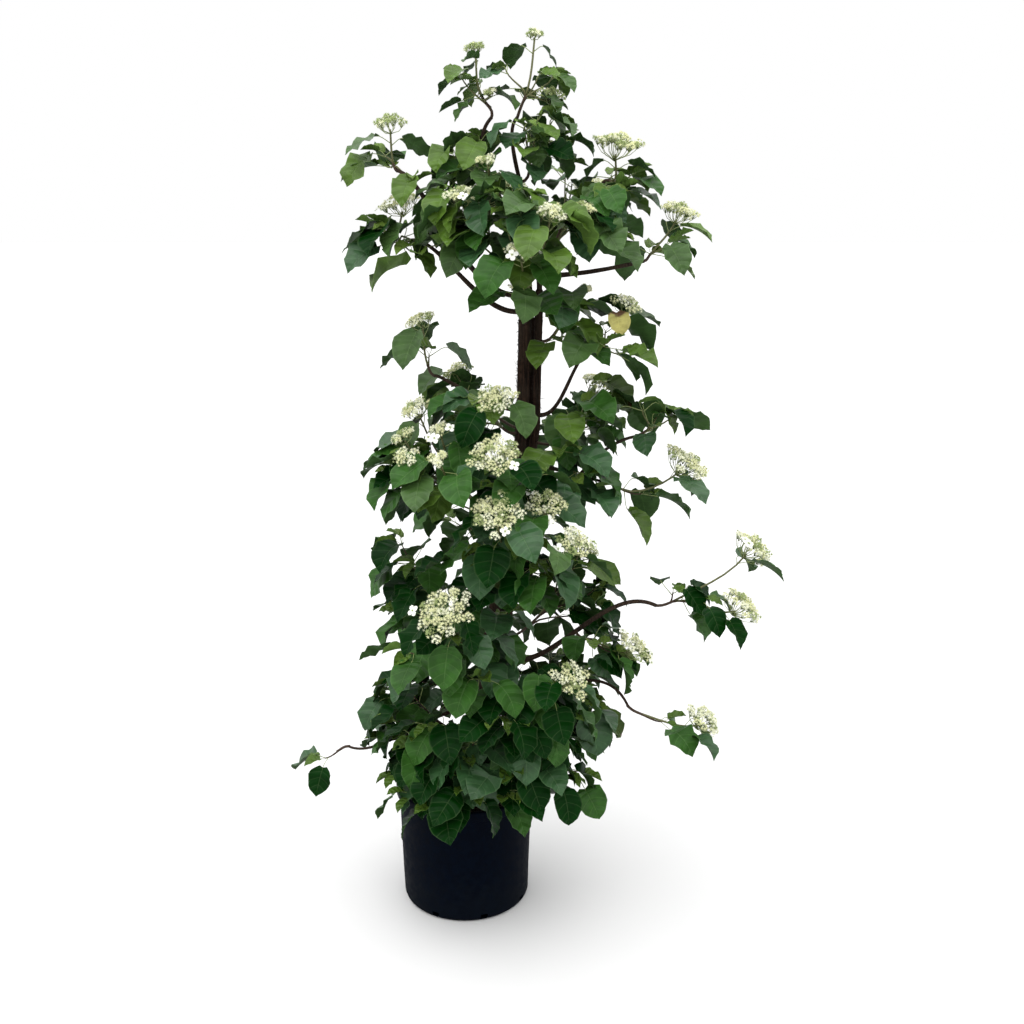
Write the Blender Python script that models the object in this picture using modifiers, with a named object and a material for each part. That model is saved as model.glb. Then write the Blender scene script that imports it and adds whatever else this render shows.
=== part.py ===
"""A climbing hydrangea trained up as a narrow pillar, in a black nursery pot. Metres, +Z up.

The origin is the middle of the pot's flat underside. Azimuths turn round the bundle of stems: 0 is the
front (-Y), 90 the right (+X), 180 the back and -90 the left. A station on the plant is an azimuth, a
reach out from the bundle's middle line, and a height above the ground.

The build order is the plant's own: pot and potting mix, three stems, the boughs that they carry, and the
masses of foliage on stems and boughs. A mass is one solid: a spine, the shoots that leave it, and the
leaves and flower heads on those shoots, fused together.
"""

import math
import random

import bmesh
import bpy
from mathutils import Matrix, Vector
from mathutils.bvhtree import BVHTree

GAP = 0.0003  # clearance between two solids that touch on the plant
SEED = 7

# --- the pot -----------------------------------------------------------------------------------------
POT_HEIGHT = 0.290
POT_RADIUS_FOOT = 0.150
POT_RADIUS_TOP = 0.1575
POT_WALL = 0.0028
POT_CORNER = 0.012  # radius of the rounded bottom edge
RIM_RADIUS = 0.1655
RIM_DEPTH = 0.024
RIM_ROLL = 0.004  # radius of the rim's rolled top
RIM_TAPER = 0.001  # the rim's skirt is this much narrower than its roll
LIP = 0.003  # the bevel inside the top
DRAIN_HOLES = 8
DRAIN_SIZE = (0.030, 0.017, 0.012)  # through the wall, along it, up it
DRAIN_FLOOR = 0.005
DRAIN_INSET = 0.005  # a hole's middle, in from the foot's outside
DRAIN_PHASE = 0.4  # of the angle between two holes
MIX_TOP = 0.262
MIX_INSET = 0.0005
MOUND_RADIUS = 0.075
MOUND_SLOPE = 0.03
MIX_CROWN = 0.006  # the mix stands this much higher round the stems
POT_SIDES = 32

# --- the three stems ---------------------------------------------------------------------------------
BUNDLE_LINE = ((0.262, 0.030), (0.74, 0.088), (1.14, 0.144), (1.45, 0.150), (1.60, 0.125), (1.96, 0.110))
STEM_FOOT = MIX_TOP + MIX_CROWN + GAP
# name: foot radius, tip radius, tip height, offset from the bundle's line, azimuth of the offset
STEMS = {
    "stem_main": (0.0175, 0.0130, 1.500, 0.0120, -62),
    "stem_right": (0.0115, 0.0085, 1.440, 0.0195, 84),
    "stem_back": (0.0115, 0.0085, 1.380, 0.0195, 165),
}
TWINE = 40  # degrees that the bundle turns in a metre
TWINE_LEVEL = 1.25
FLARE = 0.55  # the foot is this share wider at the mix
FLARE_HEIGHT = 0.035
SPREAD = 0.9  # and the stems stand this share further apart there
SPREAD_HEIGHT = 0.10
STEM_STATIONS = 8
STEM_COLLAR = 0.012  # the foot stands upright for this much

# --- the boughs --------------------------------------------------------------------------------------
# name: the limb that carries it, where on it (a height, or None for its tip), knee, tip, radii
BOUGHS = {
    "leader_left": ("stem_main", None, (-86, 0.050, 1.655), (-86, 0.048, 1.790), 0.0066, 0.0036),
    "leader_right": ("stem_right", None, (70, 0.008, 1.650), (60, 0.006, 1.790), 0.0058, 0.0034),
    "bough_left_high": ("stem_main", 1.430, (-66, 0.165, 1.550), (-84, 0.250, 1.684), 0.0062, 0.0040),
    "bough_left_low": ("stem_main", 1.395, (-84, 0.155, 1.482), (-91, 0.256, 1.536), 0.0055, 0.0036),
    "bough_right_high": ("leader_right", 1.560, (84, 0.120, 1.608), (84, 0.180, 1.662), 0.0045, 0.0036),
    "bough_right_low": ("leader_right", 1.470, (90, 0.145, 1.480), (90, 0.250, 1.500), 0.0054, 0.0040),
    "bough_left_mid": ("stem_main", 1.180, (-89, 0.135, 1.222), (-90, 0.205, 1.256), 0.0048, 0.0034),
    "bough_right_upper": ("stem_right", 1.170, (82, 0.085, 1.235), (79, 0.140, 1.320), 0.0045, 0.0034),
    "bough_right_mid": ("stem_right", 0.935, (90, 0.120, 1.015), (90, 0.245, 1.122), 0.0048, 0.0034),
    "bough_right_mid_low": ("stem_right", 1.060, (82, 0.110, 1.042), (80, 0.195, 1.025), 0.0048, 0.0034),
    "bough_right_long": ("stem_right", 0.600, (76, 0.190, 0.690), (80, 0.350, 0.748), 0.0062, 0.0044),
    "bough_right_bottom": ("stem_right", 0.530, (72, 0.190, 0.565), (69, 0.330, 0.530), 0.0044, 0.0030),
    "bough_left_bottom": ("stem_main", 0.470, (-85, 0.185, 0.420), (-88, 0.320, 0.380), 0.0042, 0.0028),
}
BOUGH_STATIONS = 5
BOUGH_PULL = 0.6  # a bough keeps its first direction for this share of the way to its knee

# --- the masses of foliage ---------------------------------------------------------------------------
# Each mass fills an egg. Its row gives the limb that carries it and where on it, the egg's middle, the
# egg's half sizes (along the ground, up, and outwards), how many leafy shoots end on the egg, and the
# flower heads, each with its station and its width. A width of 0 is a leafy shoot at that station.
MASSES = {
    "top_left": ("leader_left", None, (-90, 0.080, 1.855), (0.014, 0.010, 0.01), 1,
        ((-90, 0.076, 1.916, 0.048), (-55, 0.060, 1.830, 0.030), (-92, 0.108, 1.870, 0.0))),
    "top_right": ("leader_right", None, (80, 0.040, 1.868), (0.020, 0.012, 0.01), 1,
        ((105, 0.048, 1.945, 0.038), (85, 0.072, 1.822, 0.062), (88, 0.080, 1.866, 0.0),
         (-70, 0.016, 1.880, 0.0))),
    "crown_top": ("leader_right", 1.660, (50, 0.060, 1.755), (0.062, 0.040, 0.03), 4,
        ((60, 0.075, 1.730, 0.030),)),
    "crown_left": ("leader_left", 1.600, (-74, 0.100, 1.710), (0.056, 0.050, 0.03), 3,
        ((-26, 0.134, 1.690, 0.046), (-100, 0.150, 1.630, 0.0))),
    "crown_front_left": ("stem_main", 1.470, (-46, 0.150, 1.612), (0.070, 0.045, 0.03), 4,
        ((-38, 0.185, 1.620, 0.074),)),
    "crown_front": ("stem_main", 1.370, (5, 0.160, 1.592), (0.065, 0.050, 0.03), 4,
        ((15, 0.225, 1.590, 0.062), (-3, 0.200, 1.515, 0.076), (-11, 0.122, 1.445, 0.058))),
    "crown_front_right": ("bough_right_high", 1.600, (52, 0.180, 1.610), (0.050, 0.050, 0.03), 2,
        ((37, 0.210, 1.600, 0.046), (72, 0.190, 1.565, 0.0))),
    "crown_back": ("leader_left", 1.550, (-150, 0.160, 1.650), (0.090, 0.055, 0.03), 3,
        ((-140, 0.170, 1.640, 0.076), (-175, 0.180, 1.640, 0.090))),
    "crown_back_right": ("leader_right", 1.510, (125, 0.170, 1.640), (0.070, 0.050, 0.03), 3,
        ((128, 0.210, 1.640, 0.082),)),
    "left_high": ("bough_left_high", None, (-86, 0.264, 1.716), (0.014, 0.014, 0.02), 1,
        ((-82, 0.258, 1.764, 0.076), (-90, 0.262, 1.690, 0.0))),
    "left_low": ("bough_left_low", None, (-92, 0.276, 1.560), (0.014, 0.018, 0.02), 1,
        ((-97, 0.250, 1.602, 0.096), (-84, 0.268, 1.540, 0.0))),
    "right_high": ("bough_right_high", None, (84, 0.212, 1.662), (0.045, 0.025, 0.03), 2,
        ((78, 0.207, 1.715, 0.114),)),
    "right_low": ("bough_right_low", None, (89, 0.276, 1.525), (0.028, 0.018, 0.03), 2,
        ((90, 0.330, 1.586, 0.092),)),
    "collar_right": ("stem_right", 1.330, (70, 0.110, 1.405), (0.045, 0.020, 0.02), 1,
        ((62, 0.130, 1.440, 0.032), (52, 0.090, 1.345, 0.0))),
    "left_mid": ("bough_left_mid", None, (-90, 0.232, 1.300), (0.015, 0.012, 0.02), 1,
        ((-90, 0.230, 1.365, 0.074),)),
    "mid_upper": ("stem_main", 1.130, (-48, 0.140, 1.190), (0.050, 0.040, 0.02), 3,
        ((-22, 0.173, 1.220, 0.094),)),
    "left_cluster": ("stem_main", 0.950, (-66, 0.250, 1.080), (0.060, 0.040, 0.04), 2,
        ((-78, 0.240, 1.180, 0.084), (-65, 0.285, 1.135, 0.060), (-49, 0.240, 1.155, 0.056),
         (-52, 0.305, 1.105, 0.066), (-38, 0.285, 1.110, 0.048))),
    "mid_front": ("stem_main", 0.990, (-6, 0.175, 1.050), (0.070, 0.040, 0.03), 3,
        ((-14, 0.248, 1.115, 0.112),)),
    "mid_low": ("stem_main", 0.860, (0, 0.205, 0.890), (0.090, 0.055, 0.03), 4,
        ((-9, 0.283, 1.005, 0.112), (14, 0.227, 1.010, 0.088), (24, 0.280, 0.940, 0.088))),
    "right_upper": ("bough_right_upper", None, (76, 0.175, 1.330), (0.040, 0.035, 0.03), 3,
        ((76, 0.206, 1.400, 0.078),)),
    "right_inner": ("stem_right", 1.110, (58, 0.135, 1.110), (0.050, 0.120, 0.03), 3, ()),
    "right_mid": ("bough_right_mid", None, (90, 0.290, 1.150), (0.030, 0.020, 0.03), 2, ()),
    "right_mid_low": ("bough_right_mid_low", None, (84, 0.255, 0.995), (0.030, 0.020, 0.03), 1,
        ((82, 0.350, 1.055, 0.122),)),
    "back_mid_left": ("stem_back", 1.130, (-130, 0.185, 1.180), (0.090, 0.100, 0.03), 3,
        ((-132, 0.210, 1.230, 0.086), (-165, 0.225, 1.150, 0.0))),
    "back_mid_right": ("stem_right", 1.020, (132, 0.185, 1.150), (0.080, 0.110, 0.03), 3,
        ((132, 0.220, 1.200, 0.096), (160, 0.225, 1.100, 0.0))),
    "back_mid_low": ("stem_back", 0.850, (-165, 0.225, 0.920), (0.120, 0.070, 0.03), 3,
        ((-178, 0.250, 1.000, 0.104), (-120, 0.220, 0.980, 0.084), (168, 0.255, 0.880, 0.0))),
    "left_wide": ("stem_main", 0.640, (-82, 0.205, 0.785), (0.060, 0.085, 0.03), 3,
        ((-84, 0.245, 0.880, 0.0),)),
    "low_left": ("stem_main", 0.650, (-24, 0.235, 0.700), (0.110, 0.065, 0.03), 4,
        ((-22, 0.320, 0.805, 0.128),)),
    "right_long": ("bough_right_long", None, (80, 0.425, 0.775), (0.020, 0.012, 0.05), 2,
        ((85, 0.530, 0.865, 0.110), (77, 0.525, 0.755, 0.108))),
    "right_long_inner": ("bough_right_long", 0.680, (70, 0.250, 0.665), (0.050, 0.030, 0.03), 2,
        ((68, 0.315, 0.660, 0.094),)),
    "low_right": ("stem_right", 0.560, (20, 0.240, 0.590), (0.095, 0.065, 0.03), 4,
        ((27, 0.330, 0.660, 0.088),)),
    "right_bottom": ("bough_right_bottom", None, (70, 0.395, 0.500), (0.012, 0.010, 0.02), 1,
        ((72, 0.490, 0.500, 0.094),)),
    "left_bottom": ("bough_left_bottom", None, (-88, 0.368, 0.356), (0.012, 0.008, 0.02), 1, ()),
    "back_low": ("stem_back", 0.560, (-165, 0.250, 0.660), (0.130, 0.060, 0.03), 3,
        ((178, 0.280, 0.720, 0.112), (-124, 0.240, 0.740, 0.086), (-172, 0.285, 0.630, 0.0))),
    "back_low_right": ("stem_right", 0.650, (130, 0.235, 0.720), (0.080, 0.090, 0.03), 3,
        ((135, 0.250, 0.800, 0.096),)),
    "skirt_left": ("stem_main", 0.400, (-76, 0.210, 0.505), (0.080, 0.070, 0.02), 3, ()),
    "skirt_front_left": ("stem_main", 0.390, (-26, 0.215, 0.475), (0.080, 0.055, 0.02), 4,
        ((-24, 0.235, 0.345, 0.0),)),
    "skirt_front_right": ("stem_right", 0.375, (28, 0.215, 0.470), (0.080, 0.055, 0.02), 4,
        ((50, 0.235, 0.375, 0.0),)),
    "skirt_right": ("stem_right", 0.450, (86, 0.210, 0.490), (0.080, 0.065, 0.02), 4, ()),
    "skirt_back_right": ("stem_back", 0.430, (142, 0.215, 0.485), (0.080, 0.065, 0.02), 3, ()),
    "skirt_back_left": ("stem_back", 0.470, (-142, 0.215, 0.495), (0.080, 0.065, 0.02), 3, ()),
}
GOLDEN_ANGLE = 137.5
SPINE_SHARE = 0.55  # how far a spine runs towards the middle of its shoots' tips
SPINE_STATIONS = 3
SPINE_RADII = (0.0036, 0.0030)
SPINE_PULL = 0.4  # how far the spine keeps its first direction
SPINE_EASE = 0.3  # and how far back from its end it has the last one
SHOOT_RADII = (0.0026, 0.0021)
SHOOT_STATIONS = 2
SHOOT_SPAN = (0.45, 0.50)  # shoots leave the spine from this share of it on, over this share
SHOOT_PULL = 0.30
SHOOT_EASE = 0.25
SHOOT_DIP = 0.22  # a shoot runs this much of its length below its tip, and then turns up
PAIRS_LEAFY = 2
PAIRS_HEADED = 1
PAIR_SPACING = 0.045
PAIR_PHASE = 25  # degrees that a shoot's first pair may be turned
PAIR_ROLL = 14  # and that each pair may be off the cross
NODE_BELOW_TIP = 0.006
NODE_BELOW_HEAD = 0.030
LEAFY_SHARE = 0.85  # no leaves nearer the spine than this share of the shoot from its tip
HEAD_LOBES = 8
LOBE_REACH = (0.88, 1.12)
HEAD_RIM = 0.28  # height of a head's rim, as a share of its width
HEAD_DEPTH = 0.46
HEAD_SINK = 0.12  # how far down its shoot a head starts
HEAD_ROOT = 0.004
HEAD_TILT = (10, 32)  # degrees outwards at the top, and how many more low down
HEAD_TILT_TOP = 1.75
HEAD_TILT_DROP = 0.9
LEAF_LENGTH = (0.092, 0.118)
LEAF_LENGTH_DROP = 0.32  # by this share leaves and stalks are shorter at the top
LEAF_DROP_FROM = 1.50
LEAF_DROP_OVER = 0.35
LEAF_WIDTH = 0.86  # of its length
LEAF_WIDEST = 0.36  # of the way along the blade
LEAF_THICKNESS = 0.0018
LOWEST_LEAF = 0.12
CLEAR_OF_ROOT = 0.16  # a leaf is tried against its own mass from this share of its stalk on
STALK_LENGTH = (0.034, 0.050)
STALK_RADIUS = 0.0006
ROOT_OFFSET = 0.0002  # a root starts this far from its shoot's middle line
STAGGER = 0.0045  # between the two leaves of a pair, along the shoot
STALK_ALONG = 0.50  # a stalk stands off its shoot forwards
STALK_ACROSS = 0.86
DROOP_LOW = (24, 74)  # degrees below level, near the ground
DROOP_HIGH = (12, 60)  # and at the top
DROOP_FLOOR = 0.5  # the height up to which leaves hang as at the ground
DROOP_RISE = 1.2  # and the height over which that changes
OUTWARD_PULL = 0.55  # how much a blade turns away from the plant's middle
BLADE_ROLL = 32
SPACE_MARGIN = 0.135  # a mass keeps within this much of its shoots' tips
PROBE = 0.0012  # how much fatter a piece is made when it is tried against its neighbours

# --- colours -----------------------------------------------------------------------------------------
FINISHES = {
    "pot_plastic": ((0.012, 0.015, 0.022), 0.55),
    "potting_mix": ((0.045, 0.028, 0.018), 0.95),
    "bark": ((0.085, 0.050, 0.036), 0.85),
    "foliage": ((0.050, 0.130, 0.035), 0.50),
}


def finish(name):
    """A Principled material, made the first time that it is asked for."""
    if name in bpy.data.materials:
        return bpy.data.materials[name]
    colour, roughness = FINISHES[name]
    material = bpy.data.materials.new(name)
    material.use_nodes = True
    shader = material.node_tree.nodes["Principled BSDF"]
    shader.inputs["Base Color"].default_value = (*colour, 1.0)
    shader.inputs["Roughness"].default_value = roughness
    return material


def clear_scene():
    for old in list(bpy.data.objects):
        bpy.data.objects.remove(old, do_unlink=True)


def collection(name):
    made = bpy.data.collections.new(name)
    bpy.context.scene.collection.children.link(made)
    return made


def add_object(name, data, into, finish_name=None):
    made = bpy.data.objects.new(name, data)
    into.objects.link(made)
    if finish_name:
        data.materials.append(finish(finish_name))
    return made


def evaluated_mesh(source):
    """The mesh that a curve or a modified object comes to, with its caps welded to its sides."""
    bpy.context.view_layer.update()
    graph = bpy.context.evaluated_depsgraph_get()
    made = bpy.data.meshes.new_from_object(source.evaluated_get(graph))
    shape = bmesh.new()
    shape.from_mesh(made)
    bmesh.ops.remove_doubles(shape, verts=shape.verts, dist=1e-6)
    shape.to_mesh(made)
    shape.free()
    return made


# === lines in space ==================================================================================
def bundle_x(z):
    """Where the bundle's middle line stands at a height: it leans to the right and then rights itself."""
    for (z0, x0), (z1, x1) in zip(BUNDLE_LINE, BUNDLE_LINE[1:]):
        if z <= z1:
            return x0 + (x1 - x0) * max(0.0, z - z0) / (z1 - z0)
    return BUNDLE_LINE[-1][1]


def outward(azimuth):
    turn = math.radians(azimuth)
    return Vector((math.sin(turn), -math.cos(turn), 0.0))


def station(azimuth, reach, z):
    return Vector((bundle_x(z), 0.0, z)) + outward(azimuth) * reach


def cubic(p0, p1, p2, p3, count):
    """Points along a Bezier curve."""
    points = []
    for i in range(count + 1):
        t = i / count
        s = 1 - t
        points.append(s**3 * p0 + 3 * s * s * t * p1 + 3 * s * t * t * p2 + t**3 * p3)
    return points


def square_off(points, direction):
    """Turn a line's first stretch to a direction, so that its flat end lies square to what carries it."""
    points[1] = points[0] + direction * (points[1] - points[0]).length


def along(points, share):
    """The point at a share of a line's length, and its direction there."""
    lengths = [(b - a).length for a, b in zip(points, points[1:])]
    left = share * sum(lengths)
    for a, b, length in zip(points, points[1:], lengths):
        if left <= length or b is points[-1]:
            return a.lerp(b, min(1.0, left / length)), (b - a).normalized()
        left -= length


class Limb:
    """A stem, bough, spine or shoot: the points of its middle line and its radius at each."""

    def __init__(self, points, radii):
        self.points = points
        self.radii = radii

    def at_height(self, z):
        """The middle line's point at a height, its direction and its radius."""
        pairs = zip(self.points, self.points[1:], self.radii, self.radii[1:])
        for a, b, r0, r1 in pairs:
            if min(a.z, b.z) <= z <= max(a.z, b.z):
                share = (z - a.z) / (b.z - a.z)
                return a.lerp(b, share), (b - a).normalized(), r0 + (r1 - r0) * share
        raise ValueError(f"the limb doesn't reach {z}")

    def start_of_branch(self, z, towards):
        """Where a branch begins, just clear of the bark or of the tip, and its first direction."""
        if z is None:
            direction = (self.points[-1] - self.points[-2]).normalized()
            return self.points[-1] + direction * GAP, direction
        point, line, radius = self.at_height(z)
        direction = towards - point
        direction = (direction - direction.project(line)).normalized()
        return point + direction * (radius + GAP), direction


def taper(count, first, last):
    return [first + (last - first) * i / (count - 1) for i in range(count)]


# === solids ==========================================================================================
def tube(name, limb, sides_beyond_four, into, finish_name=None, section=None, fatter=0.0):
    """A limb's solid: a poly curve with a round or three-sided bevel and closed ends, made a mesh."""
    curve = bpy.data.curves.new(name, "CURVE")
    curve.dimensions = "3D"
    curve.use_fill_caps = True
    curve.bevel_mode = "OBJECT" if section else "ROUND"
    if section:
        curve.bevel_object = section
    else:
        curve.bevel_depth = 1.0
        curve.bevel_resolution = sides_beyond_four
    spline = curve.splines.new("POLY")
    spline.points.add(len(limb.points) - 1)
    for point, place, radius in zip(spline.points, limb.points, limb.radii):
        point.co = (*place, 1.0)
        point.radius = radius + fatter
    carrier = add_object(name + "_line", curve, into)
    mesh = evaluated_mesh(carrier)
    bpy.data.objects.remove(carrier)
    bpy.data.curves.remove(curve)
    mesh.name = name
    return add_object(name, mesh, into, finish_name)


def turned(name, profile, sides, into, finish_name):
    """A solid turned round Z from a closed profile of (radius, height), listed down its outer side."""
    mesh = bpy.data.meshes.new(name)
    shape = bmesh.new()
    ring = [shape.verts.new((radius, 0.0, z)) for radius, z in profile]
    for a, b in zip(ring, ring[1:]):
        shape.edges.new((a, b))
    shape.to_mesh(mesh)
    shape.free()
    made = add_object(name, mesh, into, finish_name)
    screw = made.modifiers.new("turn", "SCREW")
    screw.steps = screw.render_steps = sides
    screw.use_merge_vertices = True
    screw.merge_threshold = 0.00005
    screw.use_smooth_shade = True
    return made


def arc(centre, radius, first, last, steps):
    """Points on an arc in the profile's plane, angles in degrees from the outward direction."""
    angles = [math.radians(first + (last - first) * i / steps) for i in range(steps + 1)]
    return [(centre[0] + radius * math.cos(a), centre[1] + radius * math.sin(a)) for a in angles]


def inner_profile(inset):
    """The pot's inside, from the middle of its floor up to its side, moved inwards by an inset."""
    corner = POT_CORNER - POT_WALL - inset
    return [(0.0, POT_WALL + inset)] + arc((POT_RADIUS_FOOT - POT_CORNER, POT_CORNER), corner, -90, 0, 3)


def make_pot(into, cutters):
    """The pot: a thin turned shell with a rolled rim, a rounded foot and drain holes."""
    inner_top = POT_RADIUS_TOP - POT_WALL
    profile = inner_profile(0.0)
    profile += [(inner_top, POT_HEIGHT - LIP), (inner_top + LIP, POT_HEIGHT)]
    profile += arc((RIM_RADIUS - RIM_ROLL, POT_HEIGHT - RIM_ROLL), RIM_ROLL, 90, 0, 2)
    skirt = POT_HEIGHT - RIM_DEPTH
    profile += [(RIM_RADIUS - RIM_TAPER, skirt), (POT_RADIUS_TOP, skirt)]
    profile += arc((POT_RADIUS_FOOT - POT_CORNER, POT_CORNER), POT_CORNER, 0, -90, 4)
    profile += [(0.0, 0.0)]
    pot = turned("pot", profile, POT_SIDES, into, "pot_plastic")
    middle = (POT_RADIUS_FOOT - DRAIN_INSET, 0.0, DRAIN_FLOOR + DRAIN_SIZE[2] / 2)
    for i in range(DRAIN_HOLES):
        shape = bmesh.new()
        bmesh.ops.create_cube(shape, size=1.0)
        bmesh.ops.scale(shape, vec=DRAIN_SIZE, verts=shape.verts)
        bmesh.ops.translate(shape, vec=middle, verts=shape.verts)
        turn = Matrix.Rotation(math.tau * (i + DRAIN_PHASE) / DRAIN_HOLES, 4, "Z")
        bmesh.ops.transform(shape, matrix=turn, verts=shape.verts)
        mesh = bpy.data.meshes.new("drain")
        shape.to_mesh(mesh)
        shape.free()
        cutter = add_object(f"drain_{i}", mesh, cutters)
        cutter.hide_render = True
        cutter.display_type = "WIRE"
    cut = pot.modifiers.new("drain holes", "BOOLEAN")
    cut.operation = "DIFFERENCE"
    cut.operand_type = "COLLECTION"
    cut.collection = cutters
    return pot


def make_mix(into):
    """The potting mix fills the pot up to a hand's breadth below the rim, and is mounded at the stems."""
    wall = inner_profile(MIX_INSET)
    share = (MIX_TOP - POT_CORNER) / (POT_HEIGHT - LIP - POT_CORNER)
    top = wall[-1][0] + (POT_RADIUS_TOP - POT_RADIUS_FOOT) * share
    profile = [(0.0, MIX_TOP + MIX_CROWN), (MOUND_RADIUS, MIX_TOP + MIX_CROWN)]
    profile += [(MOUND_RADIUS + MOUND_SLOPE, MIX_TOP), (top, MIX_TOP)]
    return turned("potting_mix", profile + wall[::-1], POT_SIDES, into, "potting_mix")


def stem_limb(foot_radius, tip_radius, tip_z, offset, azimuth):
    """One stem of the bundle: it twines round the middle line, stands apart at the foot and flares there."""
    points, radii = [], []
    heights = [STEM_FOOT, STEM_FOOT + STEM_COLLAR, STEM_FOOT + FLARE_HEIGHT]
    heights += [
        STEM_FOOT + FLARE_HEIGHT + (tip_z - STEM_FOOT - FLARE_HEIGHT) * i / STEM_STATIONS
        for i in range(1, STEM_STATIONS + 1)
    ]
    for z in heights:
        above = z - STEM_FOOT
        apart = offset * (1 + SPREAD * math.exp(-above / SPREAD_HEIGHT))
        turned_to = azimuth + TWINE * (z - TWINE_LEVEL)
        points.append(station(turned_to, apart, z))
        radius = foot_radius + (tip_radius - foot_radius) * above / (tip_z - STEM_FOOT)
        radii.append(radius * (1 + FLARE * math.exp(-above / (FLARE_HEIGHT / 2))))
    points[0] = Vector((points[1].x, points[1].y, STEM_FOOT))  # the foot stands upright on the mix
    return Limb(points, radii)


def bough_limb(carrier, z, knee, tip, first_radius, last_radius):
    """A bough leaves its carrier square to the bark, passes its knee and ends at its tip."""
    knee, tip = station(*knee), station(*tip)
    start, direction = carrier.start_of_branch(z, knee)
    p1 = start + direction * (knee - start).length * BOUGH_PULL
    p2 = (8 * knee - start - 3 * p1 - tip) / 3  # the Bezier curve then passes its knee halfway
    points = cubic(start, p1, p2, tip, BOUGH_STATIONS)
    square_off(points, direction)
    return Limb(points, taper(len(points), first_radius, last_radius))


# === leaves and flower heads =========================================================================
def loft(sections, tip):
    """A closed mesh through three-point sections, with a flat first end and a pointed last one."""
    shape = bmesh.new()
    rings = [[shape.verts.new(point) for point in section] for section in sections]
    shape.faces.new(reversed(rings[0]))
    for ring, after in zip(rings, rings[1:]):
        for i in range(3):
            j = (i + 1) % 3
            shape.faces.new((ring[i], ring[j], after[j], after[i]))
    end = shape.verts.new(tip)
    for i in range(3):
        shape.faces.new((rings[-1][i], rings[-1][(i + 1) % 3], end))
    bmesh.ops.recalc_face_normals(shape, faces=shape.faces)
    return shape


class Leaf:
    """A leaf: its stalk's root in the shoot, the blade's foot, and the blade's heading and side axes."""

    def __init__(self, node, stalk_direction, stalk, heading, side, length):
        self.node = node + stalk_direction * ROOT_OFFSET
        self.stalk_direction = stalk_direction
        self.foot = node + stalk_direction * stalk
        self.heading = heading
        self.side = side
        self.up = side.cross(heading)
        self.length = length

    def shape(self, fatter=0.0, past_root=False):
        """The leaf's mesh: it widens from its root to the blade's widest place, and closes to its tip."""
        radius = STALK_RADIUS + fatter
        across = self.side * radius
        lift = self.side.cross(self.stalk_direction).normalized() * radius
        root = [self.node - across + lift / 2, self.node - lift, self.node + across + lift / 2]
        keel = self.up * (LEAF_THICKNESS + fatter)
        middle = self.foot + self.heading * self.length * LEAF_WIDEST
        reach = self.side * (self.length * LEAF_WIDTH / 2 + fatter)
        widest = [middle - reach, middle - keel, middle + reach]
        if past_root:
            root = [a.lerp(b, CLEAR_OF_ROOT) for a, b in zip(root, widest)]
        return loft([root, widest], self.foot + self.heading * (self.length + fatter))


def head_shape(width, rng):
    """A flower head along +Z: a cone that opens from its shoot to a lobed rim, under a low crown."""
    shape = bmesh.new()
    foot = shape.verts.new((0, 0, -HEAD_ROOT))
    crown = shape.verts.new((0, 0, HEAD_DEPTH * width))
    rim = []
    for i in range(HEAD_LOBES):
        turn = math.tau * i / HEAD_LOBES
        reach = width / 2 * rng.uniform(*LOBE_REACH)
        height = HEAD_RIM * width
        rim.append(shape.verts.new((reach * math.cos(turn), reach * math.sin(turn), height)))
    for a, b in zip(rim, rim[1:] + rim[:1]):
        shape.faces.new((a, b, crown))
        shape.faces.new((b, a, foot))
    return shape


def shape_mesh(shape, matrix=None):
    if matrix:
        bmesh.ops.transform(shape, matrix=matrix, verts=shape.verts)
    mesh = bpy.data.meshes.new("piece")
    shape.to_mesh(mesh)
    shape.free()
    return mesh


def tree_of(meshes):
    """One search tree over several meshes, to try a new piece against."""
    points, faces = [], []
    for mesh in meshes:
        first = len(points)
        points += [v.co.copy() for v in mesh.vertices]
        faces += [[first + i for i in p.vertices] for p in mesh.polygons]
    return BVHTree.FromPolygons(points, faces) if faces else None


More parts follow.
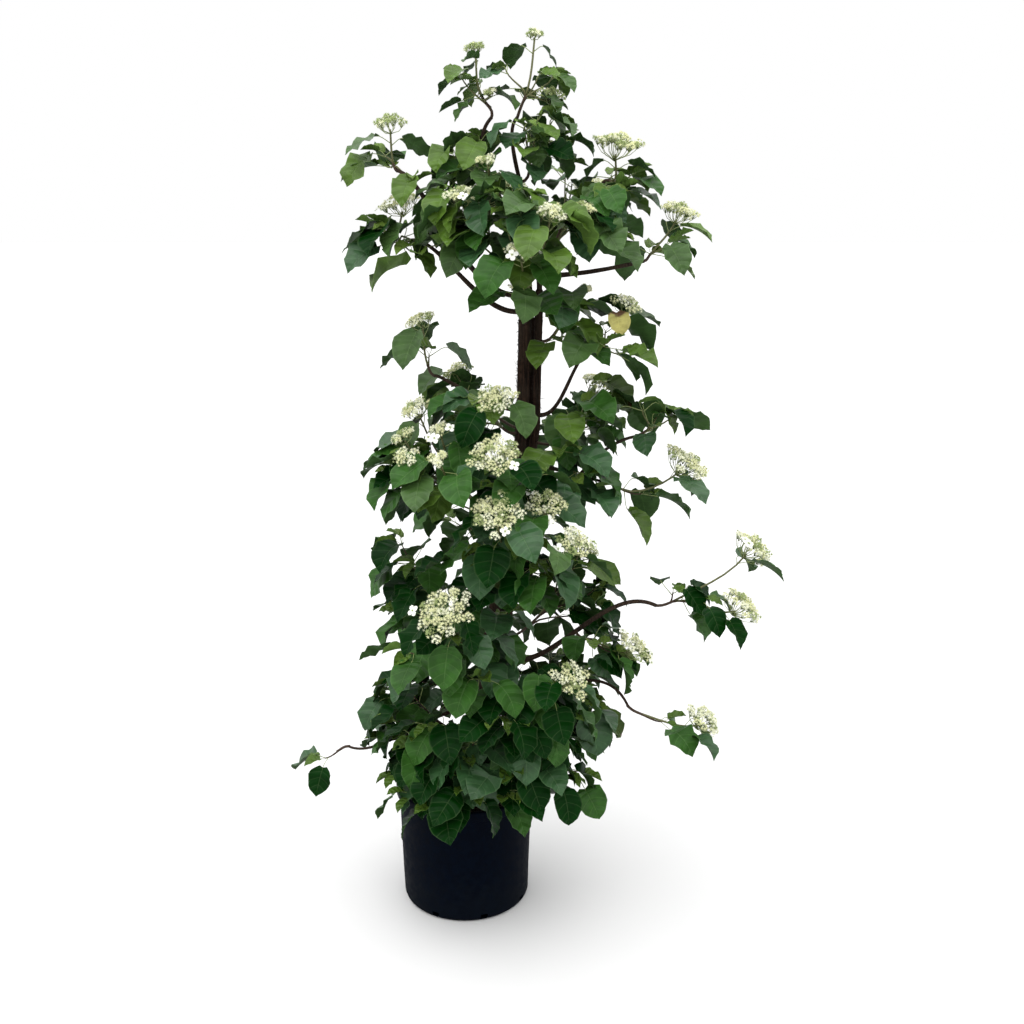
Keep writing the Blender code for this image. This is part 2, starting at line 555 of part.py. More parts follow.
class Mass:
    """One mass of foliage: its spine, its shoots, and the leaves and heads that found room."""

    def __init__(self, name, carrier, z, middle, size, leafy, heads):
        self.name = "foliage_" + name
        self.rng = random.Random(f"{SEED} {name}")
        self.middle = station(*middle)
        ends = [(station(*head[:3]), head[3]) for head in heads]
        ends += [(tip, 0.0) for tip in self.egg(middle[0], size, leafy)]
        start, direction = carrier.start_of_branch(z, self.middle)
        hub = start.lerp(self.middle, SPINE_SHARE)
        run = (hub - start).length
        p1 = start + direction * SPINE_PULL * run
        points = cubic(start, p1, hub.lerp(start, SPINE_EASE), hub, SPINE_STATIONS)
        square_off(points, direction)
        self.spine = Limb(points, taper(len(points), *SPINE_RADII))
        self.shoots = [(self.shoot(tip), width) for tip, width in ends]
        self.room = SPACE_MARGIN + max((tip - self.middle).length for tip, _ in ends)
        self.wood, self.heads, self.blades, self.leaves = [], [], [], []
        self.tried = 0

    def egg(self, azimuth, size, count):
        """Tips spread evenly over the mass's egg, by the golden angle."""
        out = outward(azimuth)
        side = out.cross(Vector((0, 0, 1)))
        phase = self.rng.uniform(0, 360)
        tips = []
        for i in range(count):
            height = 1 - (2 * i + 1) / count
            ring = math.sqrt(1 - height * height)
            turn = math.radians(phase + i * GOLDEN_ANGLE)
            tip = self.middle + side * size[0] * ring * math.cos(turn)
            tip += out * size[2] * ring * math.sin(turn)
            tips.append(tip + Vector((0, 0, size[1] * height)))
        return tips

    def shoot(self, tip):
        """A shoot leaves the spine in its direction, dips a little and turns up towards its tip."""
        share = SHOOT_SPAN[0] + SHOOT_SPAN[1] * self.rng.random()
        foot, line = along(self.spine.points, share)
        run = (tip - foot).length
        rise = tip - Vector((0, 0, SHOOT_DIP * run))
        p1 = foot + line * SHOOT_PULL * run
        points = cubic(foot, p1, rise.lerp(foot, SHOOT_EASE), tip, SHOOT_STATIONS)
        return Limb(points, taper(len(points), *SHOOT_RADII))

    def keeps_in(self, mesh):
        """Whether a piece stays in this mass's own space and out of the pot."""
        for v in mesh.vertices:
            if (v.co - self.middle).length > self.room or v.co.z < LOWEST_LEAF:
                return False
            if v.co.z < POT_HEIGHT + GAP and math.hypot(v.co.x, v.co.y) < RIM_RADIUS + PROBE:
                return False
        return True

    def head_placement(self, shoot, width):
        """A head sits square on its shoot's end, tipped outwards, and more so lower down."""
        tip, _ = along(shoot.points, 1.0)
        lowness = max(0.0, min(1.0, (HEAD_TILT_TOP - tip.z) / HEAD_TILT_DROP))
        tilt = math.radians(HEAD_TILT[0] + HEAD_TILT[1] * lowness)
        axis = Vector((0, 0, math.cos(tilt))) + away_from_bundle(tip) * math.sin(tilt)
        side = axis.cross(Vector((0.3, 1, 0.2))).normalized()
        turn = Matrix((side, axis.cross(side), axis)).transposed().to_4x4()
        return Matrix.Translation(tip - axis * HEAD_SINK * width) @ turn

    def leaves_of(self, shoot, headed):
        """A shoot's leaves, in pairs that stand crosswise to the pair before."""
        length = sum((b - a).length for a, b in zip(shoot.points, shoot.points[1:]))
        phase = self.rng.uniform(-PAIR_PHASE, PAIR_PHASE)
        for k in range(PAIRS_HEADED if headed else PAIRS_LEAFY):
            back = (NODE_BELOW_HEAD if headed else NODE_BELOW_TIP) + k * PAIR_SPACING
            if back > LEAFY_SHARE * length:
                return
            node, line = along(shoot.points, 1 - back / length)
            level = line.cross(Vector((0, 0, 1))).normalized()
            roll = math.radians(phase + 90 * k + self.rng.uniform(-PAIR_ROLL, PAIR_ROLL))
            for side in (1, -1):
                across = Matrix.Rotation(roll, 3, line) @ (level * side)
                place = node + line * side * STAGGER / 2
                yield self.leaf(place, (line * STALK_ALONG + across * STALK_ACROSS).normalized())

    def leaf(self, node, stalk_direction):
        """The stalk stands off its shoot. The blade heads away from the plant, and hangs from the stalk."""
        level = Vector((stalk_direction.x, stalk_direction.y, 0.0))
        level = (level + away_from_bundle(node) * OUTWARD_PULL).normalized()
        high = max(0.0, min(1.0, (node.z - DROOP_FLOOR) / DROOP_RISE))
        least, most = (low + (top - low) * high for low, top in zip(DROOP_LOW, DROOP_HIGH))
        droop = math.radians(self.rng.uniform(least, most))
        heading = level * math.cos(droop) - Vector((0, 0, math.sin(droop)))
        roll = Matrix.Rotation(math.radians(self.rng.uniform(-BLADE_ROLL, BLADE_ROLL)), 3, heading)
        side = roll @ heading.cross(Vector((0, 0, 1))).normalized()
        share = 1 - LEAF_LENGTH_DROP * max(0.0, min(1.0, (node.z - LEAF_DROP_FROM) / LEAF_DROP_OVER))
        stalk = self.rng.uniform(*STALK_LENGTH) * share
        length = self.rng.uniform(*LEAF_LENGTH) * share
        return Leaf(node, stalk_direction, stalk, heading, side, length)


def away_from_bundle(point):
    return Vector((point.x - bundle_x(point.z), point.y, 0.0)).normalized()


def touches(mesh, others):
    return bool(others and tree_of([mesh]).overlap(others))


def grow_wood(mass, others, section, bench):
    """The mass's spine, shoots and heads, less those that would touch another mass or a limb."""
    mass.wood.append(tube(mass.name, mass.spine, 0, bench, "foliage", section))
    mass.kept = []
    for shoot, width in mass.shoots:
        trial = tube("trial", shoot, 0, bench, None, section, PROBE)
        blocked = touches(trial.data, others)
        bpy.data.objects.remove(trial)
        if blocked:
            print("no room for a shoot", mass.name, width)
            continue
        mass.kept.append((shoot, width))
        mass.wood.append(tube("shoot", shoot, 0, bench, None, section))
        if width:
            head = shape_mesh(head_shape(width, mass.rng), mass.head_placement(shoot, width))
            if touches(head, others):
                print("no room for a head", mass.name, width)
            else:
                mass.heads.append(head)


def grow_leaves(mass, others):
    """The mass's leaves, less those that would leave its space, or touch another leaf or a limb."""
    spine, *twigs = [piece.data for piece in mass.wood]
    for (shoot, width), twig in zip(mass.kept, twigs):
        own_wood = [spine] + [other for other in twigs if other is not twig]
        for leaf in mass.leaves_of(shoot, width > 0):
            mass.tried += 1
            fat_leaf = shape_mesh(leaf.shape(PROBE))
            fat_blade = shape_mesh(leaf.shape(PROBE, past_root=True))
            own = tree_of(mass.blades + mass.heads + own_wood)
            if touches(fat_leaf, others) or touches(fat_blade, own) or not mass.keeps_in(fat_leaf):
                continue
            mass.blades.append(shape_mesh(leaf.shape(past_root=True)))
            mass.leaves.append(shape_mesh(leaf.shape()))


def drop_scraps(mesh):
    """Keep a union's largest body, and drop what didn't join it along an edge."""
    shape = bmesh.new()
    shape.from_mesh(mesh)
    bodies, left = [], set(shape.faces)
    while left:
        body, front = [], [left.pop()]
        while front:
            face = front.pop()
            body.append(face)
            near = {other for edge in face.edges for other in edge.link_faces} & left
            left -= near
            front += near
        bodies.append(body)
    bodies.sort(key=len)
    for body in bodies[:-1]:
        print("dropped a scrap of", len(body), "faces")
        bmesh.ops.delete(shape, geom=body, context="FACES")
    shape.to_mesh(mesh)
    shape.free()


def fuse(mass, bench, plant):
    """One Boolean union of the spine with the collection of everything that grows on it."""
    spine, *shoots = mass.wood
    for piece in shoots:
        bench.objects.unlink(piece)
    operands = collection("growth")
    for piece in shoots:
        operands.objects.link(piece)
    for mesh in mass.heads + mass.leaves:
        add_object("growth", mesh, operands)
    union = spine.modifiers.new("grown together", "BOOLEAN")
    union.operation = "UNION"
    union.operand_type = "COLLECTION"
    union.solver = "MANIFOLD"
    union.collection = operands
    mesh = evaluated_mesh(spine)
    drop_scraps(mesh)
    mesh.materials.clear()
    for piece in list(operands.objects):
        bpy.data.objects.remove(piece)
    bpy.data.collections.remove(operands)
    bpy.data.objects.remove(spine)
    mesh.name = mass.name
    print(mass.name, "triangles:", sum(len(p.vertices) - 2 for p in mesh.polygons))
    return add_object(mass.name, mesh, plant, "foliage")


def three_sided_section(into):
    """The cross-section of every twig: a triangle that curves take as their bevel."""
    curve = bpy.data.curves.new("twig_section", "CURVE")
    curve.dimensions = "2D"
    curve.fill_mode = "NONE"
    spline = curve.splines.new("POLY")
    spline.points.add(2)
    spline.use_cyclic_u = True
    for i, point in enumerate(spline.points):
        turn = -math.tau * i / 3
        point.co = (math.cos(turn), math.sin(turn), 0.0, 1.0)
    section = add_object("twig_section", curve, into)
    section.hide_render = True
    return section


def main():
    clear_scene()
    plant = collection("potted_climbing_hydrangea")
    cutters = collection("drain_cutters")
    bench = collection("bench")
    helpers = collection("helpers")
    section = three_sided_section(helpers)

    pot = make_pot(plant, cutters)
    mix = make_mix(plant)
    limbs, limb_meshes = {}, []
    for name, sizes in STEMS.items():
        limbs[name] = stem_limb(*sizes)
        limb_meshes.append(tube(name, limbs[name], 3, plant, "bark").data)
    for name, (carrier, z, knee, tip, first, last) in BOUGHS.items():
        limbs[name] = bough_limb(limbs[carrier], z, knee, tip, first, last)
        limb_meshes.append(tube(name, limbs[name], 1, plant, "bark").data)

    fixed = limb_meshes + [evaluated_mesh(pot), evaluated_mesh(mix)]
    masses = [Mass(name, limbs[row[0]], *row[1:]) for name, row in MASSES.items()]
    for mass in masses:
        grown = [piece.data for other in masses for piece in other.wood]
        grown += [head for other in masses for head in other.heads]
        grow_wood(mass, tree_of(fixed + grown), section, bench)
    for mass in masses:
        grown = []
        for other in masses:
            if other is not mass:
                grown += [piece.data for piece in other.wood] + other.heads + other.leaves
        grow_leaves(mass, tree_of(fixed + grown))
        print(mass.name, len(mass.kept), "shoots", len(mass.leaves), "of", mass.tried, "leaves")
    print("leaves in all:", sum(len(mass.leaves) for mass in masses), sum(mass.tried for mass in masses))
    for mass in masses:
        fuse(mass, bench, plant)
    for name in ("bench", "helpers"):
        for piece in list(bpy.data.collections[name].objects):
            bpy.data.objects.remove(piece)


main()
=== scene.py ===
# %% [markdown]
# # A climbing hydrangea in its nursery pot
#
# This script dresses a plain CAD model of a tall climbing hydrangea. The CAD has the pot, the stems, the
# boughs and rough masses of foliage. Here they get bark, toothed leaves with veins, and flower heads made
# of hundreds of small flowers. The frame comes first: it brings in the CAD solids at their real size, and
# everything that follows is placed by the same measures.

# %% Load the frame
import math
import random
from functools import partial

import bmesh
import bpy
import numpy as np
from mathutils import Matrix, Vector, noise
from mathutils.kdtree import KDTree


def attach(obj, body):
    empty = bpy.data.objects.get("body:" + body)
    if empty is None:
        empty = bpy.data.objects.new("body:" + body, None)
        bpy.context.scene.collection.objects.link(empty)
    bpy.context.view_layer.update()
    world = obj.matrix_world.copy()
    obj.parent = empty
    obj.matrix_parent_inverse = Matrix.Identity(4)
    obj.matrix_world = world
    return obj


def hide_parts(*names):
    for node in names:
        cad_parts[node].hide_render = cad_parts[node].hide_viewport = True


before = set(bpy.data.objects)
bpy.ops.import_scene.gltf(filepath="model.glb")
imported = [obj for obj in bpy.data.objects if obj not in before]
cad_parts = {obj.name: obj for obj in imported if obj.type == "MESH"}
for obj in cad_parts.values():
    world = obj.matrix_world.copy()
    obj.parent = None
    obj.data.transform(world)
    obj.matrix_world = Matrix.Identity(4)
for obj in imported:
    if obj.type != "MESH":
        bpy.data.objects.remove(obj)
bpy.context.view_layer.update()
print("nodes in the frame:", len(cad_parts))

# %% [markdown]
# ## The camera
#
# A tall subject is best seen from eye height, with the camera tipped down a little. The tip is what makes
# the pot look narrower than the crown and lets us see into the lower leaves. A camera object looks along
# its own -Z, so a turn of 90 degrees about X makes it look level, and less tips it down.

# %% Set the camera
EYE = (0.1107, -2.5, 1.6)
TIP_DOWN = 14.6  # degrees
LENS, SENSOR = 40.43, 36  # mm

bpy.ops.object.camera_add(location=EYE, rotation=(math.radians(90 - TIP_DOWN), 0, 0))
camera = bpy.context.object
camera.name = "camera"
camera.data.lens = LENS
camera.data.sensor_width = SENSOR
bpy.context.scene.camera = camera
print("camera at", EYE, "tipped down", TIP_DOWN, "degrees")

# %% [markdown]
# ## Materials from nodes
#
# The looks are procedural: noise and sums of a place make masks, and masks mix plain colours. Each helper
# adds one kind of node to a tree and gives back its output, so that a recipe reads like a sum. The
# Principled shader stays in each material, where its plain values can be seen.

# %% Helpers for nodes
VECTOR, FLOAT = "NodeSocketVector", "NodeSocketFloat"


def feed(tree, socket, value):
    """Link an output to a socket, or set the socket to a number or a colour."""
    if isinstance(value, bpy.types.NodeSocket):
        tree.links.new(value, socket)
    else:
        socket.default_value = (*value, 1) if isinstance(value, tuple) else value


def math_node(tree, operation, *values):
    node = tree.nodes.new("ShaderNodeMath")
    node.operation = operation
    for socket, value in zip(node.inputs, values):
        feed(tree, socket, value)
    return node.outputs[0]


def noise_node(tree, vector, scale, detail=3.0, roughness=0.5):
    node = tree.nodes.new("ShaderNodeTexNoise")
    for label, value in (("Vector", vector), ("Scale", scale), ("Detail", detail), ("Roughness", roughness)):
        feed(tree, node.inputs[label], value)
    return node.outputs["Fac"]


def smooth_step(tree, value, low, high, first=0.0, last=1.0):
    """From `first` to `last` as the value goes from `low` to `high`."""
    node = tree.nodes.new("ShaderNodeMapRange")
    node.interpolation_type = "SMOOTHSTEP"
    for socket, given in zip(node.inputs, (value, low, high, first, last)):
        feed(tree, socket, given)
    return node.outputs["Result"]


def split(tree, vector):
    node = tree.nodes.new("ShaderNodeSeparateXYZ")
    feed(tree, node.inputs[0], vector)
    return node.outputs


def coordinates(tree, which="Object"):
    return tree.nodes.new("ShaderNodeTexCoord").outputs[which]


def blend_colours(tree, mask, first, second, amount=1.0):
    """A mix of two colours by a mask; each colour is a tuple or a socket."""
    node = tree.nodes.new("ShaderNodeMix")
    node.data_type = "RGBA"
    if amount < 1.0:
        mask = math_node(tree, "MULTIPLY", mask, amount)
    for number, value in ((0, mask), (6, first), (7, second)):
        feed(tree, node.inputs[number], value)
    return node.outputs[2]


def bump(tree, height, shader, strength, distance):
    node = tree.nodes.new("ShaderNodeBump")
    for label, value in (("Strength", strength), ("Distance", distance), ("Height", height)):
        feed(tree, node.inputs[label], value)
    feed(tree, shader.inputs["Normal"], node.outputs["Normal"])


def material(name, colour, roughness, specular=0.5):
    made = bpy.data.materials.new(name)
    made.use_nodes = True
    shader = made.node_tree.nodes["Principled BSDF"]
    shader.inputs["Base Color"].default_value = (*colour, 1)
    shader.inputs["Roughness"].default_value = roughness
    shader.inputs["Specular IOR Level"].default_value = specular
    return made, made.node_tree, shader


def place(tree, group, vector, **values):
    """Use a node group; its first input takes the vector."""
    node = tree.nodes.new("ShaderNodeGroup")
    node.node_tree = group
    feed(tree, node.inputs[0], vector)
    for label, value in values.items():
        feed(tree, node.inputs[label.capitalize()], value)
    return node


def patterned(name, colour, roughness, specular, group, scale, dark, light):
    """A material that runs between two colours by a node group's mask."""
    made, tree, shader = material(name, colour, roughness, specular)
    mask = place(tree, group, coordinates(tree), scale=scale).outputs[0]
    tree.links.new(blend_colours(tree, mask, dark, light), shader.inputs["Base Color"])
    return made, tree, shader


def tinted(colour, share):
    return tuple(min(1.0, value * share) for value in colour)


# %% [markdown]
# ## Node groups
#
# Four effects are node groups, built once: a mottle of light and dark, the veins of a leaf, the fibres of
# bark, and dust that settles low down. A group puts out only masks and heights.
#
# A leaf's UV map runs 0 to 1 across it and 0 to 1 from its foot to its tip. The side veins leave the
# midrib with the rows of the mesh and bend a little more towards the tip, so they are even steps of
# (place along) less (a share of place across).

# %% Build the node groups
def node_group(name, vector, number, value, outputs):
    """A group with a vector and a number as its inputs; gives back the tree and a way to its outputs."""
    tree = bpy.data.node_groups.new(name, "ShaderNodeTree")
    tree.interface.new_socket(name=vector, in_out="INPUT", socket_type=VECTOR)
    tree.interface.new_socket(name=number, in_out="INPUT", socket_type=FLOAT).default_value = value
    for label in outputs:
        tree.interface.new_socket(name=label, in_out="OUTPUT", socket_type=FLOAT)
    into = tree.nodes.new("NodeGroupOutput").inputs
    return tree, *tree.nodes.new("NodeGroupInput").outputs[:2], into


mottle, where, scale, result = node_group("mottle", "Vector", "Scale", 20.0, ["Mask"])
patches = noise_node(mottle, where, scale, 4.0, 0.6)
feed(mottle, result["Mask"], smooth_step(mottle, patches, 0.36, 0.66))

veins, where, pairs, result = node_group("leaf_veins", "UV", "Pairs", 6.0, ["Vein", "Margin", "Height"])
sums = partial(math_node, veins)
across, along_leaf, _ = split(veins, where)
across = sums("MULTIPLY", sums("ABSOLUTE", sums("SUBTRACT", across, 0.5)), 2.0)
bend = sums("MULTIPLY", sums("POWER", across, 1.6), 0.07)
wave = sums("PINGPONG", sums("MULTIPLY", sums("SUBTRACT", along_leaf, bend), pairs), 0.5)
side_vein = sums("MULTIPLY", smooth_step(veins, wave, 0.050, 0.008), 0.7)
midrib = smooth_step(veins, across, 0.045, 0.012)
feed(veins, result["Margin"], smooth_step(veins, across, 0.90, 0.99))
feed(veins, result["Vein"], sums("MAXIMUM", side_vein, midrib))
feed(veins, result["Height"], sums("ADD", sums("MULTIPLY", wave, 2.0), sums("MULTIPLY", midrib, -0.6)))

fibres, where, scale, result = node_group("bark_fibres", "Vector", "Scale", 1.0, ["Streak", "Height"])
stretch = fibres.nodes.new("ShaderNodeMapping")
stretch.inputs["Scale"].default_value = (230, 230, 9)
feed(fibres, stretch.inputs["Vector"], where)
strands = noise_node(fibres, stretch.outputs["Vector"], scale, 6.0, 0.65)
feed(fibres, result["Streak"], smooth_step(fibres, strands, 0.34, 0.68))
feed(fibres, result["Height"], strands)

dust, where, top, result = node_group("low_dust", "Vector", "Top", 0.1, ["Mask"])
sums = partial(math_node, dust)
lowness = sums("SUBTRACT", 1.0, sums("DIVIDE", split(dust, where)[2], top))
specks = noise_node(dust, where, 38.0, 6.0, 0.7)
settled = sums("ADD", sums("MULTIPLY", sums("MAXIMUM", lowness, 0.0), 0.5), specks)
feed(dust, result["Mask"], smooth_step(dust, settled, 0.52, 0.95))
print("node groups:", [group.name for group in bpy.data.node_groups])

# %% [markdown]
# ## Light and floor
#
# Leaves look their best under an overcast sky: one huge soft source from all round. A white world gives
# that by itself, and it is also a clean background. A real overcast sky is two to three times as bright
# overhead as at the horizon, and so is this one, because that is what parts a leaf's lit upper side from
# the deep shade below it. The floor is matt and pale, and comes out as bright as the horizon. A wide area
# lamp overhead and to the left gives the crown a little more light, and its sheen.

# %% Build the world, the lamp and the floor
HORIZON, OVERHEAD = 1.0, 2.5  # the sky's strength there
SKY_RISE = (0.22, 1.0)  # the upward part of the direction, from where the sky grows brighter to the zenith
LAMP_AT = (-0.7, -1.3, 4.4)
LAMP_TIPS = (20, -11, 0)  # degrees about X, Y and Z
LAMP_POWER, LAMP_SIZE = 60, 3.4
FLOOR_SHADE, FLOOR_SIZE = 0.63, 120

world = bpy.data.worlds.new("overcast")
bpy.context.scene.world = world
world.use_nodes = True
tree = world.node_tree
upward = split(tree, coordinates(tree, "Generated"))[2]
sky = tree.nodes["Background"]
sky.inputs["Color"].default_value = (1, 1, 1, 1)
feed(tree, sky.inputs["Strength"], smooth_step(tree, upward, *SKY_RISE, HORIZON, OVERHEAD))

bpy.ops.object.light_add(type="AREA", location=LAMP_AT)
lamp = bpy.context.object
lamp.name = "overhead_lamp"
lamp.data.energy = LAMP_POWER
lamp.data.size = LAMP_SIZE
lamp.rotation_euler = [math.radians(tip) for tip in LAMP_TIPS]

bpy.ops.mesh.primitive_plane_add(size=FLOOR_SIZE, location=(0, 0, 0))
floor = bpy.context.object
floor.name = "floor"
floor.data.materials.append(material("pale_floor", (FLOOR_SHADE,) * 3, 1.0, 0.0)[0])
bpy.context.scene.view_settings.view_transform = "Standard"
print("floor", FLOOR_SIZE, "m wide, sky", HORIZON, "to", OVERHEAD, "lamp", LAMP_POWER, "W")

# %% [markdown]
# ## The plant's measures
#
# These are the sizes that the CAD was grown from, written again: the same lines and the same seeded draws
# put every stem, bough and shoot where its solid is. Azimuths turn round the bundle of stems: 0 is the
# front, 90 the right. A station is an azimuth, a reach out from the bundle's middle line, and a height.

# %% Repeat the plant's measures
SEED = 7
GAP = 0.0003
# the pot
POT_HEIGHT = 0.290
POT_RADIUS_FOOT = 0.150
POT_RADIUS_TOP = 0.1575
POT_WALL = 0.0028
POT_CORNER = 0.012
RIM_RADIUS = 0.1655
RIM_DEPTH = 0.024
RIM_ROLL = 0.004
LIP = 0.003
DRAIN_HOLES = 8
DRAIN_SIZE = (0.030, 0.017, 0.012)
DRAIN_INSET = 0.005
DRAIN_PHASE = 0.4
# the mix
MIX_TOP = 0.262
MOUND_RADIUS = 0.075
MOUND_SLOPE = 0.03
MIX_CROWN = 0.006
# the stems: (height, x) along the bundle's middle line, and how they twine and flare
BUNDLE_LINE = ((0.262, 0.030), (0.74, 0.088), (1.14, 0.144), (1.45, 0.150), (1.60, 0.125), (1.96, 0.110))
STEM_FOOT = MIX_TOP + MIX_CROWN + GAP
TWINE = 40
TWINE_LEVEL = 1.25
FLARE = 0.55
FLARE_HEIGHT = 0.035
SPREAD = 0.9
SPREAD_HEIGHT = 0.10
STEM_STATIONS = 8
STEM_COLLAR = 0.012
# the boughs
BOUGH_STATIONS = 5
BOUGH_PULL = 0.6
# spines and shoots
GOLDEN_ANGLE = 137.5
SPINE_SHARE = 0.55
SPINE_STATIONS = 3
SPINE_RADII = (0.0036, 0.0030)
SPINE_PULL = 0.4
SPINE_EASE = 0.3
SHOOT_STATIONS = 2
SHOOT_SPAN = (0.45, 0.50)
SHOOT_PULL = 0.30
SHOOT_EASE = 0.25
SHOOT_DIP = 0.22
# pairs of leaves on a shoot
PAIRS_LEAFY = 2
PAIRS_HEADED = 1
PAIR_SPACING = 0.045
PAIR_PHASE = 25
PAIR_ROLL = 14
NODE_BELOW_TIP = 0.006
NODE_BELOW_HEAD = 0.030
LEAFY_SHARE = 0.85
# flower heads
HEAD_LOBES = 8
LOBE_REACH = (0.88, 1.12)
HEAD_RIM = 0.28
HEAD_SINK = 0.12
HEAD_TILT = (10, 32)
HEAD_TILT_TOP = 1.75
HEAD_TILT_DROP = 0.9
# leaves
LEAF_LENGTH = (0.092, 0.118)
LEAF_LENGTH_DROP = 0.32
LEAF_DROP_FROM = 1.50
LEAF_DROP_OVER = 0.35
LOWEST_LEAF = 0.12
STALK_LENGTH = (0.034, 0.050)
STAGGER = 0.0045
STALK_ALONG = 0.50
STALK_ACROSS = 0.86
DROOP_LOW = (24, 74)
DROOP_HIGH = (12, 60)
DROOP_FLOOR = 0.5
DROOP_RISE = 1.2
OUTWARD_PULL = 0.55
BLADE_ROLL = 32
SPACE_MARGIN = 0.135
# radius at the foot, radius and height of the tip, offset from the middle line, azimuth
STEMS = {
    "stem_main": (0.0175, 0.013, 1.5, 0.012, -62),
    "stem_right": (0.0115, 0.0085, 1.44, 0.0195, 84),
    "stem_back": (0.0115, 0.0085, 1.38, 0.0195, 165),
}
# carrier, the height where the bough leaves it (or its tip), knee, tip, radius at the foot and the tip
BOUGHS = {
    "leader_left": ("stem_main", None, (-86, 0.05, 1.655), (-86, 0.048, 1.79), 0.0066, 0.0036),
    "leader_right": ("stem_right", None, (70, 0.008, 1.65), (60, 0.006, 1.79), 0.0058, 0.0034),
    "bough_left_high": ("stem_main", 1.43, (-66, 0.165, 1.55), (-84, 0.25, 1.684), 0.0062, 0.004),
    "bough_left_low": ("stem_main", 1.395, (-84, 0.155, 1.482), (-91, 0.256, 1.536), 0.0055, 0.0036),
    "bough_right_high": ("leader_right", 1.56, (84, 0.12, 1.608), (84, 0.18, 1.662), 0.0045, 0.0036),
    "bough_right_low": ("leader_right", 1.47, (90, 0.145, 1.48), (90, 0.25, 1.5), 0.0054, 0.004),
    "bough_left_mid": ("stem_main", 1.18, (-89, 0.135, 1.222), (-90, 0.205, 1.256), 0.0048, 0.0034),
    "bough_right_upper": ("stem_right", 1.17, (82, 0.085, 1.235), (79, 0.14, 1.32), 0.0045, 0.0034),
    "bough_right_mid": ("stem_right", 0.935, (90, 0.12, 1.015), (90, 0.245, 1.122), 0.0048, 0.0034),
    "bough_right_mid_low": ("stem_right", 1.06, (82, 0.11, 1.042), (80, 0.195, 1.025), 0.0048, 0.0034),
    "bough_right_long": ("stem_right", 0.6, (76, 0.19, 0.69), (80, 0.35, 0.748), 0.0062, 0.0044),
    "bough_right_bottom": ("stem_right", 0.53, (72, 0.19, 0.565), (69, 0.33, 0.53), 0.0044, 0.003),
    "bough_left_bottom": ("stem_main", 0.47, (-85, 0.185, 0.42), (-88, 0.32, 0.38), 0.0042, 0.0028),
}
